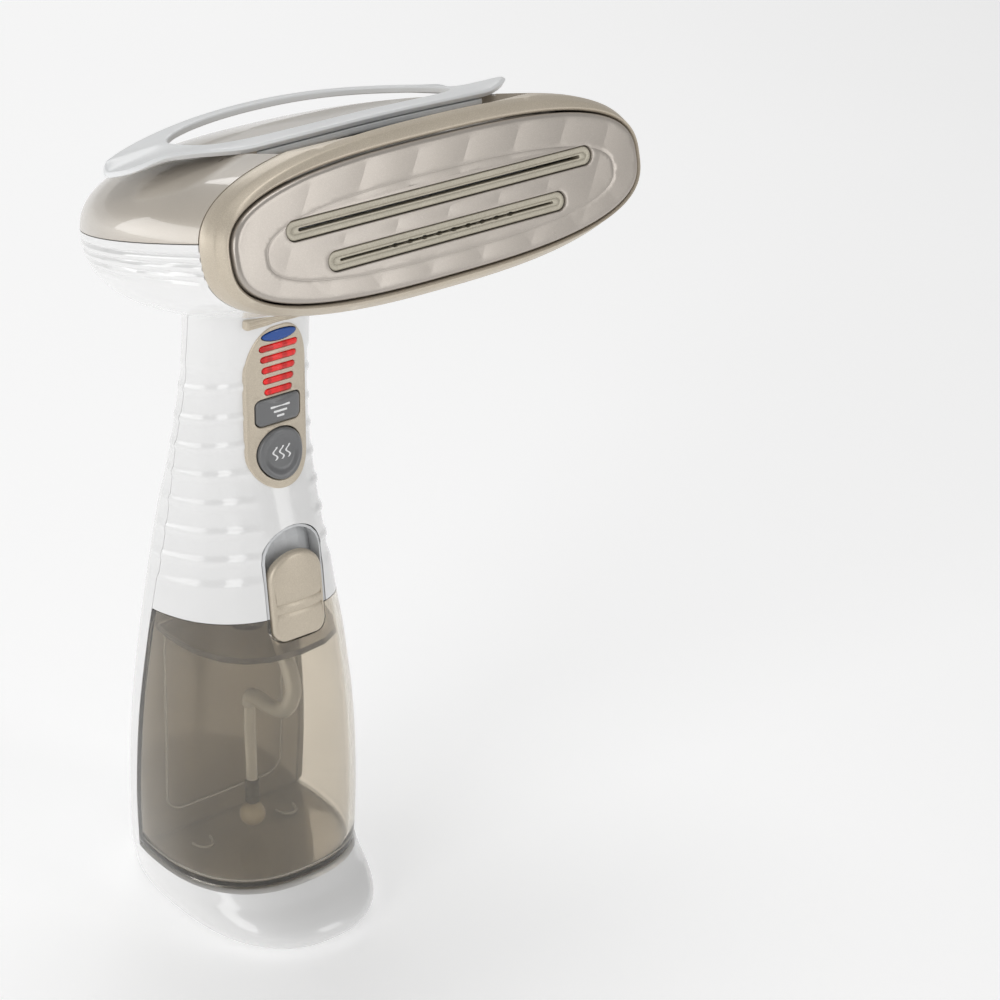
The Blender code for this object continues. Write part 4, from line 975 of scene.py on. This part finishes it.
def rider_edge(inset, drop):
    """Outer edge of the attachment, squarer in front than behind."""
    points = []
    for turn in (math.tau * i / 200 for i in range(200)):
        side, up = math.cos(turn), math.sin(turn)
        power = 2 / (RIDER_BACK_ROUND if up > 0 else RIDER_FRONT_ROUND)
        reach = RIDER_BACK - RIDER_MIDDLE if up > 0 else RIDER_MIDDLE - RIDER_FRONT
        x = (RIDER_HALF - inset) * power_of(side, power)
        s = RIDER_MIDDLE + (reach - inset) * power_of(up, power)
        points.append(head_point(x, s, rider_height(x, s) - drop))
    return points


def rider_ring(half, front, back, drop):
    outline = oval(half, front, back, (front + back) / 2, RIDER_WINDOW_ROUND, 200)
    return [head_point(x, s, rider_height(x, s) - drop) for x, s in outline]


def make_head_shells():
    depths = head_depths(46)
    inner = (5.0, 20, 40, 58, 75, 92, 105, 117, 128)
    cover = loft("head_top", [head_ring(s) for s in depths])
    under = loft("hollow", [head_ring(s, -WALL, 60) for s in inner])
    floor = prism("floor_keep", [(-60, 0), (60, 0), (60, DOCK_BACK + 2), (-60, DOCK_BACK + 2)],
                  "V", DOCK_FLOOR - 1.8, 50)
    carve(under, floor)
    dock = rounded_box(DOCK_HALF, (DOCK_BACK + 10) / 2, (DOCK_BACK - 10) / 2, 3.0)
    space = [rider_edge(-1.0, drop) for drop in (-6.0, RIDER_THICK + 0.4)]
    carve(cover, under, prism("dock", dock, "V", DOCK_FLOOR, 60), loft("rider_space", space),
          within=[seam_block("above", GAP / 2, True)])
    finished(cover, "champagne_gloss", "housing", "head_cover")
    shell = loft("head_under", [head_ring(s, grooved=True) for s in depths])
    hollow = loft("hollow", [head_ring(s, -WALL, 60) for s in inner])
    neck = loft("neck", [body_ring(z, GAP, count=80) for z in spread(205, 262, 4)])
    carve(shell, hollow, neck, within=[seam_block("below", -GAP / 2, False)])
    finished(shell, "gloss_white", "housing", "head_lower_shell")


def make_attachment():
    low = RIDER_THICK
    half, front, back = RIDER_WINDOW
    rings = [rider_edge(0.0, 0.8), rider_edge(0.9, 0.0),
             rider_ring(half + 0.6, front - 0.6, back + 0.6, 0.0),
             rider_ring(*RIDER_WINDOW, 0.5), rider_ring(*RIDER_WINDOW, low),
             rider_edge(1.0, low)]
    made = loft("guide_frame", soft_rings(rings, 0.16), closed=True)
    finished(made, "frame_grey", "attachment", "attachment_frame")
    pad = plate("guide_pad", oval(*RIDER_PAD, 2.0, 120),
                lambda u, v, h: head_point(u, v, rider_height(u, v) - low - GAP - h),
                lambda x, s: 1.9, 0.0, edge=1.0, step=1.6)
    finished(pad, "soft_pad", "attachment", "attachment_pad")
    tab = plate("guide_clip", rounded_box(14, 8.2, 23.3, 2.0), lambda u, v, h: head_point(u, v, h),
                lambda x, s: 29.0 + 0.9 * ease(16, 19, s), 27.1, edge=0.6, step=1.4)
    finished(tab, "dark_plastic", "attachment", "attachment_clip")


# ---- grip and controls

def make_grip():
    heights = spread(110, 236, 170)
    shell = loft("grip_shell", [body_ring(z, ribbed=True) for z in heights])
    hollow = loft("hollow", [body_ring(z, -WALL, count=72) for z in spread(100, 240, 24)])
    well = latch_outline(WELL_HALF + GAP, 100, WELL_HIGH + GAP, 11.0)
    carve(shell, hollow, join_prism("below", GAP / 2),
          prism("pocket", panel_outline(GAP - 0.6), "Y", -60, -8),
          prism("well_hole", well, "Y", -60, -12), within=[seam_prism("front", -GAP / 2)])
    finished(shell, "gloss_white", "housing", "grip_front_shell")


def make_back():
    foot = [body_ring(z, levels=FOOT_LEVELS) for z in spread(0.6, 18.7, 40)]
    rest = [body_ring(z, ribbed=z > 120) for z in spread(19.0, 236, 190)]
    housing = loft("back_shell", foot + rest)
    mouth = [(x, y) for x, y, _ in body_ring(0.6, -2.0, FOOT_LEVELS, count=80)]
    low = [[(x, y, z) for x, y in mouth] for z in (-3.0, 2.0)]
    low += [body_ring(z, -2.6, FOOT_LEVELS, count=80) for z in (5, 8, 11, 13.5, 16.0)]
    spine = loft("spine", [body_ring(z, -WALL, count=72) for z in spread(DECK_TOP + 0.1, 245, 30)])
    cuts = [seam_prism("bay", GAP / 2, DECK_TOP), loft("foot_hollow", low), spine,
            rod("gland_hole", 5.2, (0, 40, GLAND_HEIGHT), (0, 60, GLAND_HEIGHT))]
    for z in SCREW_HEIGHTS:
        y = between(BODY_LEVELS, z, 3)
        cuts += [rod("screw_hole", 1.9, (0, y - 12, z), (0, y - 0.5, z)),
                 rod("screw_seat", 3.3, (0, y - 1.25, z), (0, y + 12, z))]
    carve(housing, *cuts)
    finished(housing, "gloss_white", "housing", "back_housing")


def window_outlines():
    size_x, size_z, radius = SETTING_SIZE
    setting = rounded_box(size_x + 0.35, size_z + 0.35, SETTING_CENTRE, radius + 0.3)
    steam = circle(STEAM_RADIUS + 0.35, (0, STEAM_CENTRE))
    bars = [stadium(half + 0.25, BAR_TOP - BAR_PITCH * i, BAR_HIGH + 0.25, 8)
            for i, half in enumerate(BAR_HALVES)]
    return setting, steam, bars


def make_panel():
    setting, steam, bars = window_outlines()
    rims = np.array(setting), np.array(steam)

    def height(x, z):
        away = min(away_from([(x, z)], rim)[0] for rim in rims)
        rim = math.exp(-((away - 0.55) / 0.55) ** 2)
        return 0.62 + 0.42 * rim
    holes = [setting, steam, leaf(7.0, 2.1, LENS_CENTRE), *bars]
    panel = plate("panel", panel_outline(), on_grip, height, -0.75, holes, 0.5, 0.25, 0.8)
    finished(panel, "champagne_metallic", "housing", "control_panel")


def make_collar():
    outline = rounded_box(12.8, 1.7, 229.6, 0.8)
    lines = [(rounded_box(11.6, 0.25, z, 0.2, 3), 0.22, 0.14) for z in (229.0, 230.2)]
    made = plate("neck_band", outline, on_grip, lambda x, z: 2.0, 0.3, edge=0.5, step=0.9,
                 lines=lines)
    finished(made, "champagne_metallic", "housing", "neck_collar")


def make_buttons():
    size_x, size_z, radius = SETTING_SIZE
    cap = rounded_box(size_x, size_z, SETTING_CENTRE, radius)

    def pillow(x, z):
        return 1.55 - 0.35 * (x / size_x) ** 2 - 0.15 * ((z - SETTING_CENTRE) / size_z) ** 2
    setting = plate("setting_key", cap, on_grip, pillow, -2.0, edge=0.7, step=0.55)
    finished(setting, "button_grey", "setting_key", "setting_button")

    def dish(x, z):
        r = math.hypot(x, z - STEAM_CENTRE)
        return 2.05 - 1.0 * (1 - ease(5.2, 7.4, r)) + 0.12 * (1 - (r / 8.8) ** 2)
    steam = plate("steam_key", circle(STEAM_RADIUS, (0, STEAM_CENTRE)), on_grip, dish, -2.0,
                  edge=0.8, step=0.5)
    finished(steam, "button_grey", "steam_key", "steam_button")
    marks = [[(x + 0.75 * math.sin(1.6 * t), STEAM_CENTRE - 2.6 + 0.9 * t + 0.5)
              for t in spread(0, 5.0, 24)] for x in (-2.6, 0.0, 2.6)]
    for i, mark in enumerate(marks):
        wave = [(x - 0.36, z) for x, z in mark] + [(x + 0.36, z) for x, z in reversed(mark)]
        print_mark("steam_mark_%d" % i, wave, dish, "steam_key")
    for i, half in enumerate((1.5, 2.7, 3.9)):
        print_mark("setting_mark_%d" % i,
                   rounded_box(half, 0.38, SETTING_CENTRE - 1.7 + 1.7 * i, 0.3, 4),
                   pillow, "setting_key")


def print_mark(name, outline, height, body):
    """A thin printed mark, just proud of the key that it is on."""
    mark = plate(name, outline, on_grip, lambda x, z: height(x, z) + 0.1, 0.6, edge=0.04,
                 step=0.3)
    finished(mark, "print_white", body)


def make_lights():
    for i, half in enumerate(BAR_HALVES):
        z = BAR_TOP - BAR_PITCH * i
        bar = plate("level_bar_%d" % (i + 1), stadium(half, z, BAR_HIGH, 8), on_grip,
                    lambda x, z: 0.85, -0.9, edge=0.3, step=0.7)
        finished(bar, "red_light", "housing", *(("level_light_guide",) if i == 0 else ()))
    lens = plate("ready_window", leaf(6.7, 1.8, LENS_CENTRE), on_grip,
                 lambda x, z: 0.95, -0.8, edge=0.3, step=0.7)
    finished(lens, "blue_lens", "housing", "ready_lens")


def make_latch():
    def height(x, z):
        up = (z - LATCH_LOW) / (LATCH_HIGH - LATCH_LOW)
        step = 0.5 * math.exp(-((z - 130.1) / 0.55) ** 2) + 0.4 * math.exp(-((z - 126.4) / 0.5) ** 2)
        return 0.95 - 0.25 * (x / LATCH_HALF) ** 2 - 0.35 * ease(0.75, 1.0, up) - step
    outline = latch_outline(LATCH_HALF, LATCH_LOW, LATCH_HIGH, 9.5)
    latch = plate("latch_cap", outline, on_grip, height, -1.9, edge=1.1, step=0.7)
    finished(latch, "champagne_metallic", "latch", "tank_latch")


# ---- tank

def make_tank():
    def outer(z):
        turn = min((z - TANK_FLOOR) / 3.2, 1.0)
        inset = 2.4 * (1 - math.sqrt(max(1 - (1 - turn) ** 2, 0.0)))
        return [(x, y, z) for x, y, _ in body_ring(max(z, 19.0), -inset)]
    rings = [outer(TANK_FLOOR + t) for t in (0, 0.15, 0.45, 0.9, 1.5, 2.3, 3.2)]
    rings += [body_ring(z) for z in spread(24, 131, 60)]
    tank = loft("clear_tank", rings)

    def inner(z):
        turn = min((z - TANK_FLOOR - 2.2) / 3.0, 1.0)
        inset = 3.0 * (1 - math.sqrt(max(1 - (1 - turn) ** 2, 0.0)))
        return [(x, y, z) for x, y, _ in body_ring(max(z, 19.0), -TANK_WALL - inset, count=120)]
    rings = [inner(TANK_FLOOR + 2.2 + t) for t in (0, 0.2, 0.6, 1.2, 2.0, 3.0)]
    rings += [body_ring(z, -TANK_WALL, count=120) for z in spread(27, 140, 40)]
    space = loft("tank_space", rings)
    carve(space, within=[seam_prism("space_back", -GAP - TANK_WALL)])
    notch = latch_outline(LATCH_HALF + 0.5, LATCH_LOW - 0.5, 160, 11.0)
    carve(tank, space, prism("tank_notch", notch, "Y", -60, -22),
          within=[join_prism("tank_top", -GAP / 2), seam_prism("tank_back", -GAP)])
    finished(tank, "smoke_clear", "tank", "water_tank")
    ridge = [(x, seam_y(z) - GAP - TANK_WALL - 0.1, z)
             for x, z in rounded_box(25.0, 40.0, 70.0, 7.0, 10)]
    ridge = tube("wall_ridge", [*ridge, ridge[0]], 0.5, 4)
    finished(ridge, "silicone", "tank")
    for i, x in enumerate((-18.4, 18.4)):
        mark = [(x + 3.6 * math.cos(t), 5.0 - 5.0 * math.sin(t), TANK_FLOOR + 2.6)
                for t in spread(0, math.pi, 18)]
        mark = tube("floor_mark_%d" % i, mark, 0.6, 4)
        finished(mark, "silicone", "tank")


def make_suction():
    outlet = [(0, OUTLET_Y, OUTLET_TOP), (0, OUTLET_Y, 107), (0, -24.5, 100), (0, -26.6, 92),
              (0, -22.5, 83.2), (0, -14.5, 79.6), (0, -6.5, 79.6), (0, -1.6, 78.6),
              (0, -0.6, 76.8), (0, -0.6, 74.8)]
    elbow = tube("elbow", smooth_route(outlet, 1.5), 2.9, 8)
    finished(elbow, "silicone", "tank", "suction_elbow")
    hose = tube("hose", smooth_route(HOSE_ROUTE, 2.0), 2.1, 8)
    finished(hose, "silicone", "tank", "suction_hose")
    end = HOSE_ROUTE[-1][:2]
    sleeve = [(0.0, 34.1), (2.2, 34.1), (2.6, 34.5), (2.6, 36.6), (2.45, 36.8), (2.6, 37.0),
              (2.6, 40.6), (2.45, 40.8), (2.6, 41.0), (2.6, 43.2), (2.2, 43.6), (0.0, 43.6)]
    sleeve = loft("filter_sleeve", turned(sleeve, (*end, 0), 40)[1:-1])
    finished(sleeve, "olive_sleeve", "tank", "hose_sleeve")
    ball = [(4.7 * math.cos(t), 29.1 + 4.7 * math.sin(t)) for t in spread(-1.45, 1.45, 24)]
    ball = loft("weight_ball", turned(ball, (*end, 0), 48))
    finished(ball, "beige_ball", "tank", "hose_ball")


# ---- stage

def area_light(name, place, target, size, power):
    data = bpy.data.lights.new(name, "AREA")
    data.shape = "RECTANGLE"
    data.size, data.size_y = size
    data.energy = power
    light = bpy.data.objects.new(name, data)
    light.location = place
    light.rotation_euler = (Vector(target) - Vector(place)).to_track_quat("-Z", "Y").to_euler()
    light.visible_camera = False
    bpy.context.scene.collection.objects.link(light)


def make_stage():
    made = Finish("pale_floor", (0.88, 0.88, 0.88), 0.6, Emission_Color=(1, 1, 1, 1),
                  Emission_Strength=0.27)
    made.vary(3, 0.006)
    bm = bmesh.new()
    bmesh.ops.create_grid(bm, x_segments=4, y_segments=4, size=8000)
    floor = solid("floor", bm)
    floor.data.materials.append(made.made)
    world = bpy.data.worlds.new("studio")
    world.use_nodes = True
    world.node_tree.nodes["Background"].inputs["Color"].default_value = (1, 1, 1, 1)
    world.node_tree.nodes["Background"].inputs["Strength"].default_value = 0.38
    bpy.context.scene.world = world
    middle = (0, 0, 0.17)
    area_light("key", (-1.9, -0.5, 0.75), middle, (1.0, 1.2), 11)
    area_light("fill", (0.9, -1.9, 0.7), middle, (0.6, 1.2), 6)
    area_light("top", (0.0, 0.1, 1.9), middle, (1.2, 0.7), 7)
    area_light("back", (0.9, 1.6, 1.0), middle, (1.0, 0.6), 4)
    area_light("side", (-1.0, 1.45, 0.27), (-0.05, 0, 0.27), (1.5, 0.5), 4.5)


bpy.context.scene.view_settings.view_transform = "Standard"
make_camera()
FINISHES = make_finishes()
make_suction()
make_plate()
make_bezel()
make_head_shells()
make_attachment()
make_grip()
make_back()
make_panel()
make_collar()
make_buttons()
make_lights()
make_latch()
make_tank()
for row in frame["record"]["subparts"]:
    node = NODES[row["node"]]
    if not node.hide_render:
        node.data.materials.clear()
        node.data.materials.append(FINISHES[row["material_slot"]])
make_stage()
